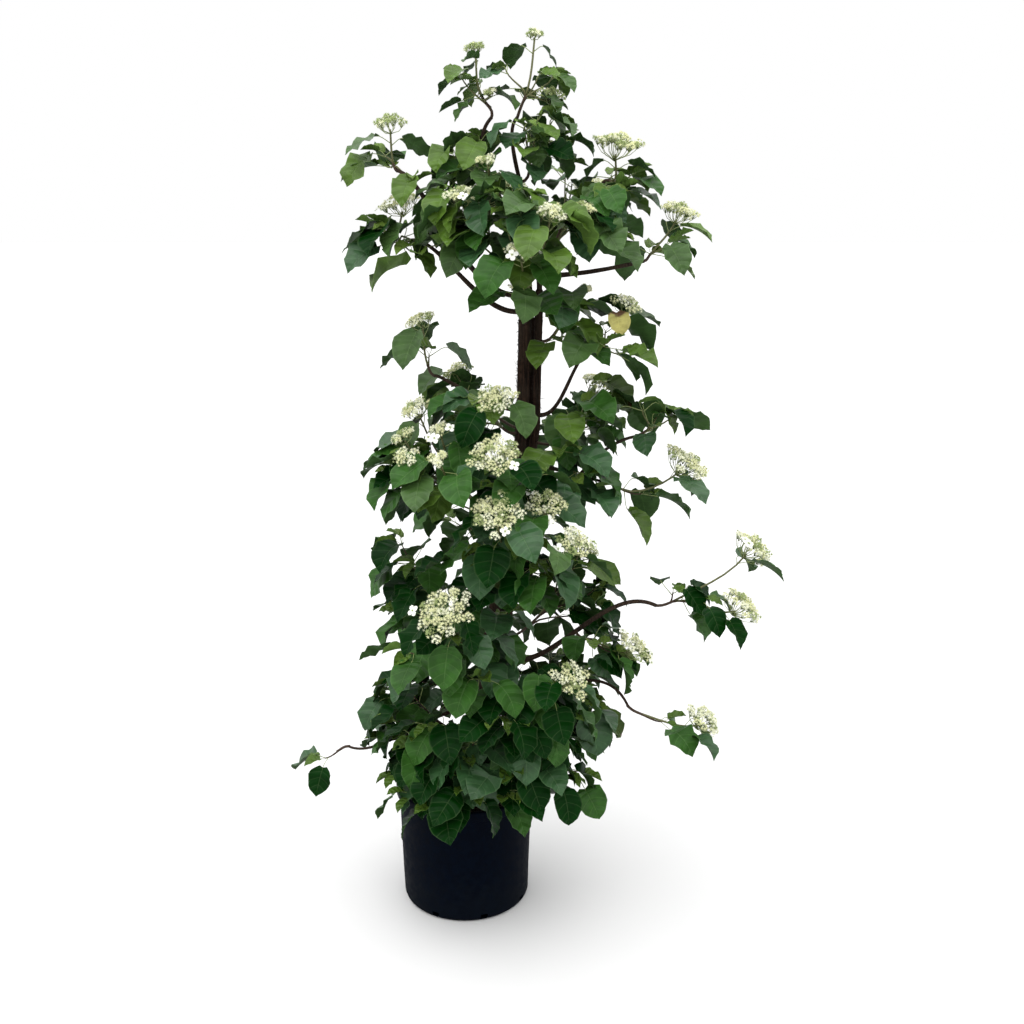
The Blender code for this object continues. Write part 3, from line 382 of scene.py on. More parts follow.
# carrier, height, the egg's middle and half sizes, leafy shoots, then each head's station and width
MASSES = {
    "top_left": ("leader_left", None, (-90, 0.08, 1.855), (0.014, 0.01, 0.01), 1,
        ((-90, 0.076, 1.916, 0.048), (-55, 0.06, 1.83, 0.03), (-92, 0.108, 1.87, 0.0))),
    "top_right": ("leader_right", None, (80, 0.04, 1.868), (0.02, 0.012, 0.01), 1,
        ((105, 0.048, 1.945, 0.038), (85, 0.072, 1.822, 0.062), (88, 0.08, 1.866, 0.0),
         (-70, 0.016, 1.88, 0.0))),
    "crown_top": ("leader_right", 1.66, (50, 0.06, 1.755), (0.062, 0.04, 0.03), 4,
        ((60, 0.075, 1.73, 0.03),)),
    "crown_left": ("leader_left", 1.6, (-74, 0.1, 1.71), (0.056, 0.05, 0.03), 3,
        ((-26, 0.134, 1.69, 0.046), (-100, 0.15, 1.63, 0.0))),
    "crown_front_left": ("stem_main", 1.47, (-46, 0.15, 1.612), (0.07, 0.045, 0.03), 4,
        ((-38, 0.185, 1.62, 0.074),)),
    "crown_front": ("stem_main", 1.37, (5, 0.16, 1.592), (0.065, 0.05, 0.03), 4,
        ((15, 0.225, 1.59, 0.062), (-3, 0.2, 1.515, 0.076), (-11, 0.122, 1.445, 0.058))),
    "crown_front_right": ("bough_right_high", 1.6, (52, 0.18, 1.61), (0.05, 0.05, 0.03), 2,
        ((37, 0.21, 1.6, 0.046), (72, 0.19, 1.565, 0.0))),
    "crown_back": ("leader_left", 1.55, (-150, 0.16, 1.65), (0.09, 0.055, 0.03), 3,
        ((-140, 0.17, 1.64, 0.076), (-175, 0.18, 1.64, 0.09))),
    "crown_back_right": ("leader_right", 1.51, (125, 0.17, 1.64), (0.07, 0.05, 0.03), 3,
        ((128, 0.21, 1.64, 0.082),)),
    "left_high": ("bough_left_high", None, (-86, 0.264, 1.716), (0.014, 0.014, 0.02), 1,
        ((-82, 0.258, 1.764, 0.076), (-90, 0.262, 1.69, 0.0))),
    "left_low": ("bough_left_low", None, (-92, 0.276, 1.56), (0.014, 0.018, 0.02), 1,
        ((-97, 0.25, 1.602, 0.096), (-84, 0.268, 1.54, 0.0))),
    "right_high": ("bough_right_high", None, (84, 0.212, 1.662), (0.045, 0.025, 0.03), 2,
        ((78, 0.207, 1.715, 0.114),)),
    "right_low": ("bough_right_low", None, (89, 0.276, 1.525), (0.028, 0.018, 0.03), 2,
        ((90, 0.33, 1.586, 0.092),)),
    "collar_right": ("stem_right", 1.33, (70, 0.11, 1.405), (0.045, 0.02, 0.02), 1,
        ((62, 0.13, 1.44, 0.032), (52, 0.09, 1.345, 0.0))),
    "left_mid": ("bough_left_mid", None, (-90, 0.232, 1.3), (0.015, 0.012, 0.02), 1,
        ((-90, 0.23, 1.365, 0.074),)),
    "mid_upper": ("stem_main", 1.13, (-48, 0.14, 1.19), (0.05, 0.04, 0.02), 3,
        ((-22, 0.173, 1.22, 0.094),)),
    "left_cluster": ("stem_main", 0.95, (-66, 0.25, 1.08), (0.06, 0.04, 0.04), 2,
        ((-78, 0.24, 1.18, 0.084), (-65, 0.285, 1.135, 0.06), (-49, 0.24, 1.155, 0.056),
         (-52, 0.305, 1.105, 0.066), (-38, 0.285, 1.11, 0.048))),
    "mid_front": ("stem_main", 0.99, (-6, 0.175, 1.05), (0.07, 0.04, 0.03), 3,
        ((-14, 0.248, 1.115, 0.112),)),
    "mid_low": ("stem_main", 0.86, (0, 0.205, 0.89), (0.09, 0.055, 0.03), 4,
        ((-9, 0.283, 1.005, 0.112), (14, 0.227, 1.01, 0.088), (24, 0.28, 0.94, 0.088))),
    "right_upper": ("bough_right_upper", None, (76, 0.175, 1.33), (0.04, 0.035, 0.03), 3,
        ((76, 0.206, 1.4, 0.078),)),
    "right_inner": ("stem_right", 1.11, (58, 0.135, 1.11), (0.05, 0.12, 0.03), 3, ()),
    "right_mid": ("bough_right_mid", None, (90, 0.29, 1.15), (0.03, 0.02, 0.03), 2, ()),
    "right_mid_low": ("bough_right_mid_low", None, (84, 0.255, 0.995), (0.03, 0.02, 0.03), 1,
        ((82, 0.35, 1.055, 0.122),)),
    "back_mid_left": ("stem_back", 1.13, (-130, 0.185, 1.18), (0.09, 0.1, 0.03), 3,
        ((-132, 0.21, 1.23, 0.086), (-165, 0.225, 1.15, 0.0))),
    "back_mid_right": ("stem_right", 1.02, (132, 0.185, 1.15), (0.08, 0.11, 0.03), 3,
        ((132, 0.22, 1.2, 0.096), (160, 0.225, 1.1, 0.0))),
    "back_mid_low": ("stem_back", 0.85, (-165, 0.225, 0.92), (0.12, 0.07, 0.03), 3,
        ((-178, 0.25, 1.000, 0.104), (-120, 0.22, 0.98, 0.084), (168, 0.255, 0.88, 0.0))),
    "left_wide": ("stem_main", 0.64, (-82, 0.205, 0.785), (0.06, 0.085, 0.03), 3,
        ((-84, 0.245, 0.88, 0.0),)),
    "low_left": ("stem_main", 0.65, (-24, 0.235, 0.7), (0.11, 0.065, 0.03), 4,
        ((-22, 0.32, 0.805, 0.128),)),
    "right_long": ("bough_right_long", None, (80, 0.425, 0.775), (0.02, 0.012, 0.05), 2,
        ((85, 0.53, 0.865, 0.11), (77, 0.525, 0.755, 0.108))),
    "right_long_inner": ("bough_right_long", 0.68, (70, 0.25, 0.665), (0.05, 0.03, 0.03), 2,
        ((68, 0.315, 0.66, 0.094),)),
    "low_right": ("stem_right", 0.56, (20, 0.24, 0.59), (0.095, 0.065, 0.03), 4,
        ((27, 0.33, 0.66, 0.088),)),
    "right_bottom": ("bough_right_bottom", None, (70, 0.395, 0.5), (0.012, 0.01, 0.02), 1,
        ((72, 0.49, 0.5, 0.094),)),
    "left_bottom": ("bough_left_bottom", None, (-88, 0.368, 0.356), (0.012, 0.008, 0.02), 1, ()),
    "back_low": ("stem_back", 0.56, (-165, 0.25, 0.66), (0.13, 0.06, 0.03), 3,
        ((178, 0.28, 0.72, 0.112), (-124, 0.24, 0.74, 0.086), (-172, 0.285, 0.63, 0.0))),
    "back_low_right": ("stem_right", 0.65, (130, 0.235, 0.72), (0.08, 0.09, 0.03), 3,
        ((135, 0.25, 0.8, 0.096),)),
    "skirt_left": ("stem_main", 0.4, (-76, 0.21, 0.505), (0.08, 0.07, 0.02), 3, ()),
    "skirt_front_left": ("stem_main", 0.39, (-26, 0.215, 0.475), (0.08, 0.055, 0.02), 4,
        ((-24, 0.235, 0.345, 0.0),)),
    "skirt_front_right": ("stem_right", 0.375, (28, 0.215, 0.47), (0.08, 0.055, 0.02), 4,
        ((50, 0.235, 0.375, 0.0),)),
    "skirt_right": ("stem_right", 0.45, (86, 0.21, 0.49), (0.08, 0.065, 0.02), 4, ()),
    "skirt_back_right": ("stem_back", 0.43, (142, 0.215, 0.485), (0.08, 0.065, 0.02), 3, ()),
    "skirt_back_left": ("stem_back", 0.47, (-142, 0.215, 0.495), (0.08, 0.065, 0.02), 3, ()),
}
print(len(STEMS), "stems,", len(BOUGHS), "boughs,", len(MASSES), "masses of foliage")

# %% [markdown]
# ## Lines in space
#
# Everything on a plant is a line with a thickness. A limb is kept as a row of points and a radius at each,
# so that whatever grows on it can ask for a place and a direction. Bezier curves make the bends: a shoot
# leaves its parent in one direction and reaches its tip in another, and a cubic is the least that can.

# %% Helpers for lines
UP = Vector((0, 0, 1))


def clamp(value):
    return max(0.0, min(1.0, value))


def bundle_x(z):
    for (z0, x0), (z1, x1) in zip(BUNDLE_LINE, BUNDLE_LINE[1:]):
        if z <= z1:
            return x0 + (x1 - x0) * max(0.0, z - z0) / (z1 - z0)
    return BUNDLE_LINE[-1][1]


def outward(azimuth):
    turn = math.radians(azimuth)
    return Vector((math.sin(turn), -math.cos(turn), 0.0))


def station(azimuth, reach, z):
    return Vector((bundle_x(z), 0.0, z)) + outward(azimuth) * reach


def away_from_bundle(point):
    return Vector((point.x - bundle_x(point.z), point.y, 0.0)).normalized()


def cubic(p0, p1, p2, p3, count):
    """Points on a Bezier curve, at even steps of its parameter."""
    points = []
    for i in range(count + 1):
        t = i / count
        s = 1 - t
        points.append(s**3 * p0 + 3 * s * s * t * p1 + 3 * s * t * t * p2 + t**3 * p3)
    return points


def square_off(points, direction):
    """Make a line's first step go the given way."""
    points[1] = points[0] + direction * (points[1] - points[0]).length


def along(points, share):
    """The place and the direction at a share of a line's length."""
    lengths = [(b - a).length for a, b in zip(points, points[1:])]
    left = share * sum(lengths)
    for a, b, length in zip(points, points[1:], lengths):
        if left <= length or b is points[-1]:
            return a.lerp(b, min(1.0, left / length)), (b - a).normalized()
        left -= length


def length_of(points):
    return sum((b - a).length for a, b in zip(points, points[1:]))


def taper(count, first, last):
    return [first + (last - first) * i / (count - 1) for i in range(count)]


class Limb:
    """The plain line of the solid, on which things grow, and the fine one, which gets the bark."""

    def __init__(self, points, radii, fine, fine_radii):
        self.points, self.radii = points, radii
        self.fine, self.fine_radii = fine, fine_radii

    def start_of_branch(self, z, towards):
        if z is None:
            direction = (self.points[-1] - self.points[-2]).normalized()
            return self.points[-1] + direction * GAP, direction
        pairs = zip(self.points, self.points[1:], self.radii, self.radii[1:])
        for a, b, r0, r1 in pairs:
            if min(a.z, b.z) <= z <= max(a.z, b.z):
                share = (z - a.z) / (b.z - a.z)
                point, line, radius = a.lerp(b, share), (b - a).normalized(), r0 + (r1 - r0) * share
                direction = towards - point
                direction = (direction - direction.project(line)).normalized()
                return point + direction * (radius + GAP), direction
        raise ValueError(f"the limb doesn't reach {z}")


print("the bundle's x at foot and crown:", [round(bundle_x(z), 3) for z in (0.3, 1.45)])

# %% Set out the stems and boughs
STEM_STEPS, BOUGH_STEPS = 150, 40  # of the fine lines, which get the bark
BOUGH_FOOT = (1.25, 1.12)  # how much thicker it is there, under the bark and on it
BOUGH_SUNK = 0.006


def stem_line(foot_radius, tip_radius, tip_z, offset, azimuth, stations):
    points, radii = [], []
    heights = [STEM_FOOT, STEM_FOOT + STEM_COLLAR, STEM_FOOT + FLARE_HEIGHT]
    rest = tip_z - STEM_FOOT - FLARE_HEIGHT
    heights += [STEM_FOOT + FLARE_HEIGHT + rest * i / stations for i in range(1, stations + 1)]
    for z in heights:
        above = z - STEM_FOOT
        apart = offset * (1 + SPREAD * math.exp(-above / SPREAD_HEIGHT))
        points.append(station(azimuth + TWINE * (z - TWINE_LEVEL), apart, z))
        radius = foot_radius + (tip_radius - foot_radius) * above / (tip_z - STEM_FOOT)
        radii.append(radius * (1 + FLARE * math.exp(-above / (FLARE_HEIGHT / 2))))
    points[0] = Vector((points[1].x, points[1].y, STEM_FOOT))
    return points, radii


def bough_limb(carrier, z, knee, tip, first_radius, last_radius):
    knee, tip = station(*knee), station(*tip)
    start, direction = carrier.start_of_branch(z, knee)
    p1 = start + direction * (knee - start).length * BOUGH_PULL
    p2 = (8 * knee - start - 3 * p1 - tip) / 3
    points = cubic(start, p1, p2, tip, BOUGH_STATIONS)
    square_off(points, direction)
    fine = [start - direction * BOUGH_SUNK] + cubic(start, p1, p2, tip, BOUGH_STEPS)
    sunk, shown = (first_radius * share for share in BOUGH_FOOT)
    return Limb(points, taper(len(points), first_radius, last_radius), fine,
                [sunk] + taper(BOUGH_STEPS + 1, shown, last_radius))


limbs = {}
for limb_name, row in STEMS.items():
    limbs[limb_name] = Limb(*stem_line(*row, STEM_STATIONS), *stem_line(*row, STEM_STEPS))
for limb_name, (carrier, *row) in BOUGHS.items():
    limbs[limb_name] = bough_limb(limbs[carrier], *row)
longest = max(length_of(limb.points) for limb in limbs.values())
print("limbs set out:", len(limbs), "the longest", round(longest, 2), "m")

# %% [markdown]
# ## Shapes that repeat
#
# A plant is a few shapes repeated many times: a leaf, a flower, a twig. Each is modelled once, in edit
# mode. Then its points are read into numpy, and every copy is a small sum: scale, bend, turn, move.
# One joined mesh for all the copies of a kind is far lighter than thousands of objects. `Shape` holds the
# model and `Gathering` the copies, with their UVs and their material slots.

# %% Helpers for shapes that repeat
def read(items, field, kind=int, each=1):
    values = np.empty(len(items) * each, kind)
    items.foreach_get(field, values)
    return values


class Shape:
    """The points, faces, slots and UVs of an object that was modelled once; the object then goes."""

    def __init__(self, made):
        mesh = made.data
        self.points = read(mesh.vertices, "co", float, 3).reshape(-1, 3)
        self.loops = read(mesh.loops, "vertex_index")
        self.sizes = read(mesh.polygons, "loop_total")
        self.slots = read(mesh.polygons, "material_index")
        self.uvs = np.zeros(2 * len(self.loops))
        if mesh.uv_layers:
            self.uvs = read(mesh.uv_layers.active.data, "uv", float, 2)
        self.triangles = int((self.sizes - 2).sum())
        bpy.data.objects.remove(made)
        print("shape:", len(self.points), "points,", self.triangles, "triangles")


class Gathering:
    """Copies of shapes, gathered into one mesh."""

    def __init__(self):
        self.points, self.loops, self.sizes, self.slots, self.uvs = [], [], [], [], []
        self.count = self.triangles = 0

    def add(self, shape, points, slot=0, under=None):
        """One copy. Faces in the shape's second slot take `under`, the rest take `slot`."""
        self.points.append(points)
        self.loops.append(shape.loops + self.count)
        self.sizes.append(shape.sizes)
        self.slots.append(np.where(shape.slots > 0, slot if under is None else under, slot))
        self.uvs.append(shape.uvs)
        self.count += len(points)
        self.triangles += shape.triangles

    def lay(self, tube, line, radii, slot=0):
        """One tube, laid along a line."""
        self.add(tube, laid(tube, line, radii), slot)

    def make(self, name, materials, smooth=True):
        mesh = bpy.data.meshes.new(name)
        loops, sizes = np.concatenate(self.loops), np.concatenate(self.sizes)
        mesh.vertices.add(self.count)
        mesh.vertices.foreach_set("co", np.concatenate(self.points).ravel())
        mesh.loops.add(len(loops))
        mesh.loops.foreach_set("vertex_index", loops)
        mesh.polygons.add(len(sizes))
        mesh.polygons.foreach_set("loop_start", np.concatenate(([0], np.cumsum(sizes)[:-1])))
        mesh.polygons.foreach_set("material_index", np.concatenate(self.slots))
        mesh.uv_layers.new(name="UVMap").data.foreach_set("uv", np.concatenate(self.uvs))
        mesh.update(calc_edges=True)
        mesh.validate()
        mesh.polygons.foreach_set("use_smooth", np.full(len(sizes), smooth))
        for finish in materials:
            mesh.materials.append(finish)
        made = bpy.data.objects.new(name, mesh)
        bpy.context.scene.collection.objects.link(made)
        print(name, "has", self.triangles, "triangles")
        return made


def select_only(made):
    bpy.ops.object.select_all(action="DESELECT")
    made.select_set(True)
    bpy.context.view_layer.objects.active = made


def start_edit(made, mode="VERT", action="DESELECT"):
    bpy.context.view_layer.objects.active = made
    bpy.ops.object.mode_set(mode="EDIT")
    bpy.ops.mesh.select_mode(type=mode)
    bpy.ops.mesh.select_all(action=action)


def end_edit():
    bpy.ops.object.mode_set(mode="OBJECT")


def apply_modifier(made, kind, **values):
    modifier = made.modifiers.new(kind.lower(), kind)
    for field, value in values.items():
        setattr(modifier, field, value)
    bpy.ops.object.modifier_apply(modifier=modifier.name)


def pick(made, test):
    """Select the vertices of an object in edit mode that pass a test of their place."""
    shape = bmesh.from_edit_mesh(made.data)
    for v in shape.verts:
        v.select_set(test(v.co))
    shape.select_flush_mode()
    bmesh.update_edit_mesh(made.data)


# %% [markdown]
# ## A tube that can lie along any line
#
# Stems, twigs, stalks and the rays of a flower head are all tubes. A ring is drawn out step by step into a
# straight tube, one unit long. To lay it along a line, each ring goes to its share of the line's length,
# and is turned so that it stays square to the line without twisting.

# %% Model the tubes
def drawn_out(profile, sides):
    """A closed solid of revolution: a ring is extruded and resized through (radius, height) stations."""
    radius, z = profile[0]
    bpy.ops.mesh.primitive_circle_add(vertices=sides, radius=radius, fill_type="NGON", location=(0, 0, z))
    made = bpy.context.object
    start_edit(made, "EDGE", "SELECT")
    for radius_next, z_next in profile[1:]:
        bpy.ops.mesh.extrude_region_move(TRANSFORM_OT_translate={"value": (0, 0, z_next - z)})
        share = radius_next / radius
        bpy.ops.transform.resize(value=(share, share, 1), center_override=(0, 0, z_next))
        radius, z = radius_next, z_next
    bpy.ops.mesh.select_all(action="SELECT")
    bpy.ops.mesh.normals_make_consistent(inside=False)
    end_edit()
    return made


def draw_tube(sides, rings):
    """A straight tube of radius 1 and length 1 along +Z."""
    return Shape(drawn_out([(1.0, ring / rings) for ring in range(rings + 1)], sides))


def frames_along(points):
    """Side axes at each point, carried along the line without twist."""
    places = np.array([tuple(p) for p in points])
    lines = np.gradient(places, axis=0)
    lines /= np.linalg.norm(lines, axis=1)[:, None]
    seed = np.array([0.0, 1.0, 0.0]) if abs(lines[0][1]) < 0.9 else np.array([1.0, 0.0, 0.0])
    sides = []
    for line in lines:
        seed = seed - line * seed.dot(line)
        seed /= np.linalg.norm(seed)
        sides.append(seed)
    sides = np.array(sides)
    return places, sides, np.cross(lines, sides)


def laid(shape, points, radii):
    """The tube's points, laid along a line with a radius at each of the line's points."""
    places, sides, ups = frames_along(points)
    steps = np.linalg.norm(np.diff(places, axis=0), axis=1)
    shares = np.concatenate(([0], np.cumsum(steps))) / steps.sum()
    z = np.clip(shape.points[:, 2], 0, 1)

    def at(values):
        values = np.asarray(values, float)
        if values.ndim == 1:
            return np.interp(z, shares, values)
        return np.stack([np.interp(z, shares, values[:, k]) for k in range(3)], axis=1)

    radius = at(radii)[:, None]
    return at(places) + at(sides) * shape.points[:, :1] * radius + at(ups) * shape.points[:, 1:2] * radius


tubes = [draw_tube(*count) for count in ((24, 190), (12, 44), (5, 6), (4, 5), (3, 3), (3, 2))]
stem_tube, bough_tube, twig_tube, stalk_tube, ray_tube, hair_tube = tubes

# %% [markdown]
# ## The nursery pot
#
# A nursery pot is blow-moulded polythene: thin, black, with a rolled rim to lift it by, a rounded foot,
# and drain notches where the wall meets the floor. It is a turned shape, so it is drawn as the tubes are, up
# the outside and down the inside. The notches are cut with a Boolean, and a slow ripple takes the
# mathematical roundness off the wall.

# %% Turn the pot
def draw_turned(name, profile, sides=120):
    made = drawn_out(profile, sides)
    made.name = made.data.name = name
    bpy.ops.object.transform_apply()
    bpy.ops.object.shade_smooth_by_angle(angle=math.radians(38))
    return made


def arc(centre, radius, first, last, steps):
    angles = [math.radians(first + (last - first) * i / steps) for i in range(steps + 1)]
    return [(centre[0] + radius * math.cos(a), centre[1] + radius * math.sin(a)) for a in angles]


UNDERSIDE = [(0.030, 0.0025), (0.116, 0.0025), (0.118, 0.0)]  # hollow, so that only its edge stands
LEAN = POT_RADIUS_TOP - POT_RADIUS_FOOT
RIM_SKIRT = POT_HEIGHT - RIM_DEPTH

corner_middle = (POT_RADIUS_FOOT - POT_CORNER, POT_CORNER)
inner_top = POT_RADIUS_TOP - POT_WALL
pot_profile = UNDERSIDE + arc(corner_middle, POT_CORNER, -90, 0, 7)
for share in (0.25, 0.5, 0.75, 0.98):
    pot_profile.append((POT_RADIUS_FOOT + LEAN * share, POT_CORNER + (RIM_SKIRT - POT_CORNER) * share))
pot_profile += [(RIM_RADIUS - 0.0012, RIM_SKIRT), (RIM_RADIUS - 0.0006, RIM_SKIRT + 0.0010)]
pot_profile += [(RIM_RADIUS - 0.0010, RIM_SKIRT + 0.010)]
pot_profile += arc((RIM_RADIUS - RIM_ROLL, POT_HEIGHT - RIM_ROLL), RIM_ROLL, 0, 90, 6)
pot_profile += [(inner_top + LIP, POT_HEIGHT - 0.0004), (inner_top, POT_HEIGHT - LIP)]
pot_profile += [(inner_top - 0.002, 0.20), (POT_RADIUS_FOOT - POT_WALL, POT_CORNER)]
pot_profile += arc(corner_middle, POT_CORNER - POT_WALL, -15, -90, 4)
pot_profile += [(0.030, POT_WALL + 0.0002)]
pot = draw_turned("pot_shell", pot_profile)
print("pot rings:", len(pot_profile))

# %% Cut the drain notches, then move the wall a little
DRAIN_LEVEL, DRAIN_ROUNDING = 0.011, 0.18
RIPPLE = 0.0016  # how far the wall waves in and out
DENT = 0.003  # and how deep it is pushed in at the front, low down
STEADY_BELOW = 0.02  # the pot has to stand flat, so both fade out down to the ground

for i in range(DRAIN_HOLES):
    turn = math.tau * (i + DRAIN_PHASE) / DRAIN_HOLES
    reach = POT_RADIUS_FOOT - DRAIN_INSET
    spot = (reach * math.cos(turn), reach * math.sin(turn), DRAIN_LEVEL)
    bpy.ops.mesh.primitive_cube_add(size=1, location=spot)
    notch = bpy.context.object
    notch.scale = DRAIN_SIZE
    notch.rotation_euler.z = turn
    start_edit(notch, "EDGE", "SELECT")
    bpy.ops.mesh.bevel(offset=DRAIN_ROUNDING, segments=3, affect="EDGES")
    end_edit()
    select_only(pot)
    apply_modifier(pot, "BOOLEAN", object=notch)
    bpy.data.objects.remove(notch)
for v in pot.data.vertices:
    flat = Vector((v.co.x, v.co.y, 0))
    if flat.length > 0.06:
        ripple = noise.noise(Vector((v.co.x * 9, v.co.y * 9, v.co.z * 6))) * RIPPLE
        low = math.exp(-((v.co.z - 0.050) / 0.030) ** 2) * math.exp(-((v.co.x + 0.03) / 0.05) ** 2)
        v.co += flat.normalized() * (ripple - DENT * low * (v.co.y < 0)) * min(1, v.co.z / STEADY_BELOW)
print("pot:", len(pot.data.polygons), "faces,", DRAIN_HOLES, "notches")

# %% Give the pot its plastic
plastic, tree, shader = material("black_polythene", (0.0008, 0.0022, 0.0058), 0.55, 0.025)
here = coordinates(tree)
dusty = place(tree, dust, here, top=0.16).outputs["Mask"]
scuffs = place(tree, mottle, here, scale=55.0).outputs["Mask"]
body_colour = blend_colours(tree, scuffs, (0.0002, 0.0012, 0.0042), (0.0008, 0.0024, 0.0066))
colour = blend_colours(tree, dusty, body_colour, (0.005, 0.007, 0.009), 0.30)
tree.links.new(colour, shader.inputs["Base Color"])
tree.links.new(math_node(tree, "MULTIPLY_ADD", scuffs, 0.16, 0.52), shader.inputs["Roughness"])
bump(tree, noise_node(tree, here, 320.0, 4.0), shader, 0.12, 0.001)
pot.data.materials.append(plastic)
print("pot finish:", plastic.name)

# %% [markdown]
# ## The potting mix
#
# Potting mix for shrubs is mostly composted bark: dark crumbs with reddish chips on top. The body is
# another turned shape, dished and mounded by noise. The chips are one bevelled block, modelled once and
# strewn by hundreds, each with its own stretch and turn. They cover the surface as real ones do, because
# a bump pattern alone looks flat where the rim's shadow crosses it.

# %% Model the mix
def mound(reach):
    """How far the mix rises round the stems' feet."""
    return MIX_CROWN * clamp((MOUND_RADIUS + MOUND_SLOPE - reach) / MOUND_SLOPE)


MIX_INSET = 0.0016  # from the pot's wall
DISHED_RINGS = 20
CRUMBS = 0.0022

wall = POT_RADIUS_TOP - POT_WALL - MIX_INSET
mix_profile = [(0.030, 0.0045), (0.118, 0.0045), (POT_RADIUS_FOOT - POT_WALL - 0.0045, 0.024)]
mix_profile += [(wall - 0.0008, MIX_TOP - 0.004), (wall - 0.004, MIX_TOP - 0.001)]
mix_profile += [(wall - 0.004 - 0.0072 * i, MIX_TOP) for i in range(1, DISHED_RINGS)]
mix = draw_turned("potting_mix_body", mix_profile)
for v in mix.data.vertices:
    if v.co.z > MIX_TOP - 0.002:
        crumbs = noise.fractal(v.co * 75, 0.6, 2.1, 5) * CRUMBS
        v.co.z += mound(math.hypot(v.co.x, v.co.y)) * 0.92 + crumbs - 0.0006
mix_paint, tree, shader = patterned("composted_bark", (0.030, 0.019, 0.013), 0.95, 0.2, mottle, 240.0,
                                    (0.012, 0.008, 0.006), (0.060, 0.036, 0.024))
bump(tree, noise_node(tree, coordinates(tree), 420.0, 6.0, 0.7), shader, 0.8, 0.002)
mix.data.materials.append(mix_paint)

# %% Model a chip and strew it
CHIPS = 420
CHIP_SIZE = (0.006, 0.017)
CHIP_INSET, CHIP_CLEAR = 0.012, 0.03  # from the wall and from the stems' middles
CHIP_TIPS = (0.35, 0.3)

bpy.ops.mesh.primitive_cube_add(size=1, location=(0, 0, 0))
chip = bpy.context.object
start_edit(chip, "EDGE", "SELECT")
bpy.ops.mesh.bevel(offset=0.2, segments=1, affect="EDGES")
bpy.ops.mesh.select_all(action="DESELECT")
pick(chip, lambda co: co.x > 0.2)
bpy.ops.transform.resize(value=(1, 0.55, 0.6), center_override=(0.5, 0.1, 0))
end_edit()
chip_shape = Shape(chip)

strewing = random.Random(f"{SEED} chips")
chips = Gathering()
while len(chips.points) < CHIPS:
    reach, turn = (wall - CHIP_INSET) * math.sqrt(strewing.random()), strewing.uniform(0, math.tau)
    spot = Vector((reach * math.cos(turn), reach * math.sin(turn), 0))
    feet = [limbs[stem].points[0] for stem in STEMS]
    if min(math.hypot(spot.x - foot.x, spot.y - foot.y) for foot in feet) < CHIP_CLEAR:
        continue
    spot.z = MIX_TOP + mound(reach)
    size = strewing.uniform(*CHIP_SIZE)
    turned_by = Matrix.Rotation(strewing.uniform(0, math.tau), 3, "Z")
    for axis, tip in zip("XY", CHIP_TIPS):
        turned_by = turned_by @ Matrix.Rotation(strewing.gauss(0, tip), 3, axis)
    stretch = (size, size * strewing.uniform(0.35, 0.7), size * strewing.uniform(0.12, 0.3))
    points = chip_shape.points * stretch @ np.array(turned_by).T + np.array((spot.x, spot.y, spot.z + 0.001))
    chips.add(chip_shape, points, strewing.choice((0, 0, 1, 2)))

CHIP_COLOURS = {"chip_dark": (0.022, 0.013, 0.009), "chip_red": (0.055, 0.026, 0.016),
                "chip_pale": (0.085, 0.056, 0.038)}
chip_paints = [patterned(name, colour, 0.85, 0.3, fibres, 1.6, tinted(colour, 0.6), tinted(colour, 1.25))[0]
               for name, colour in CHIP_COLOURS.items()]
bark_chips = chips.make("bark_chips", chip_paints, smooth=False)

# %% [markdown]
# ## Bark
#
# Old stems of climbing hydrangea carry brown bark that peels in long papery strips, and on the side that
# once touched a wall a fur of aerial rootlets. The tube is laid along each stem, its foot flares out, and
# ridged noise stretched along the stem lifts the strips. The noise moves real points because the trunk's
# outline shows it. The finer fibres below a millimetre are left to the bump map.

# %% Lay the bark on the stems and boughs
STRIPS_ON_STEM, STRIPS_ON_BOUGH = 0.13, 0.10  # how far the strips stand out, as a share of the radius
ROOTLETS = 2600
ROOTLETS_HIGH, ROOTLETS_ALL = (1.0, 1.42), (0.45, 1.42)  # most of them between the first two heights
ROOTLETS_FACE = (-60, 75)  # azimuth, and how far they stray from it
ROOTLET_RADII = (0.0006, 0.0005, 0.00025)
FLARE_ENDS = 20  # the station on a stem's fine line from which the radius falls evenly

wood_pieces = Gathering()


def barked(tube, limb, depth, seed):
    """A tube laid on the limb's fine line, lifted into strips by ridged noise."""
    points = laid(tube, limb.fine, limb.fine_radii)
    axis = laid(tube, limb.fine, [0.0] * len(limb.fine))
    out = points - axis
    for i, (point, away) in enumerate(zip(points, out)):
        where = Vector((away[0] * 150, away[1] * 150 + seed, point[2] * 13 + away[2] * 40))
        strips = noise.ridged_multi_fractal(where, 0.9, 2.2, 4, 1.0, 2.0)
        lumps = noise.noise(Vector((point[0] * 30, point[1] * 30, point[2] * 22 + seed)))
        points[i] = axis[i] + away * (0.94 + depth * (strips - 0.9) + 0.10 * lumps)
    return points


for number, (limb_name, limb) in enumerate(limbs.items()):
    is_stem = limb_name in STEMS
    tube, depth = (stem_tube, STRIPS_ON_STEM) if is_stem else (bough_tube, STRIPS_ON_BOUGH)
    wood_pieces.add(tube, barked(tube, limb, depth, 11.0 * number), 0 if is_stem else 1)

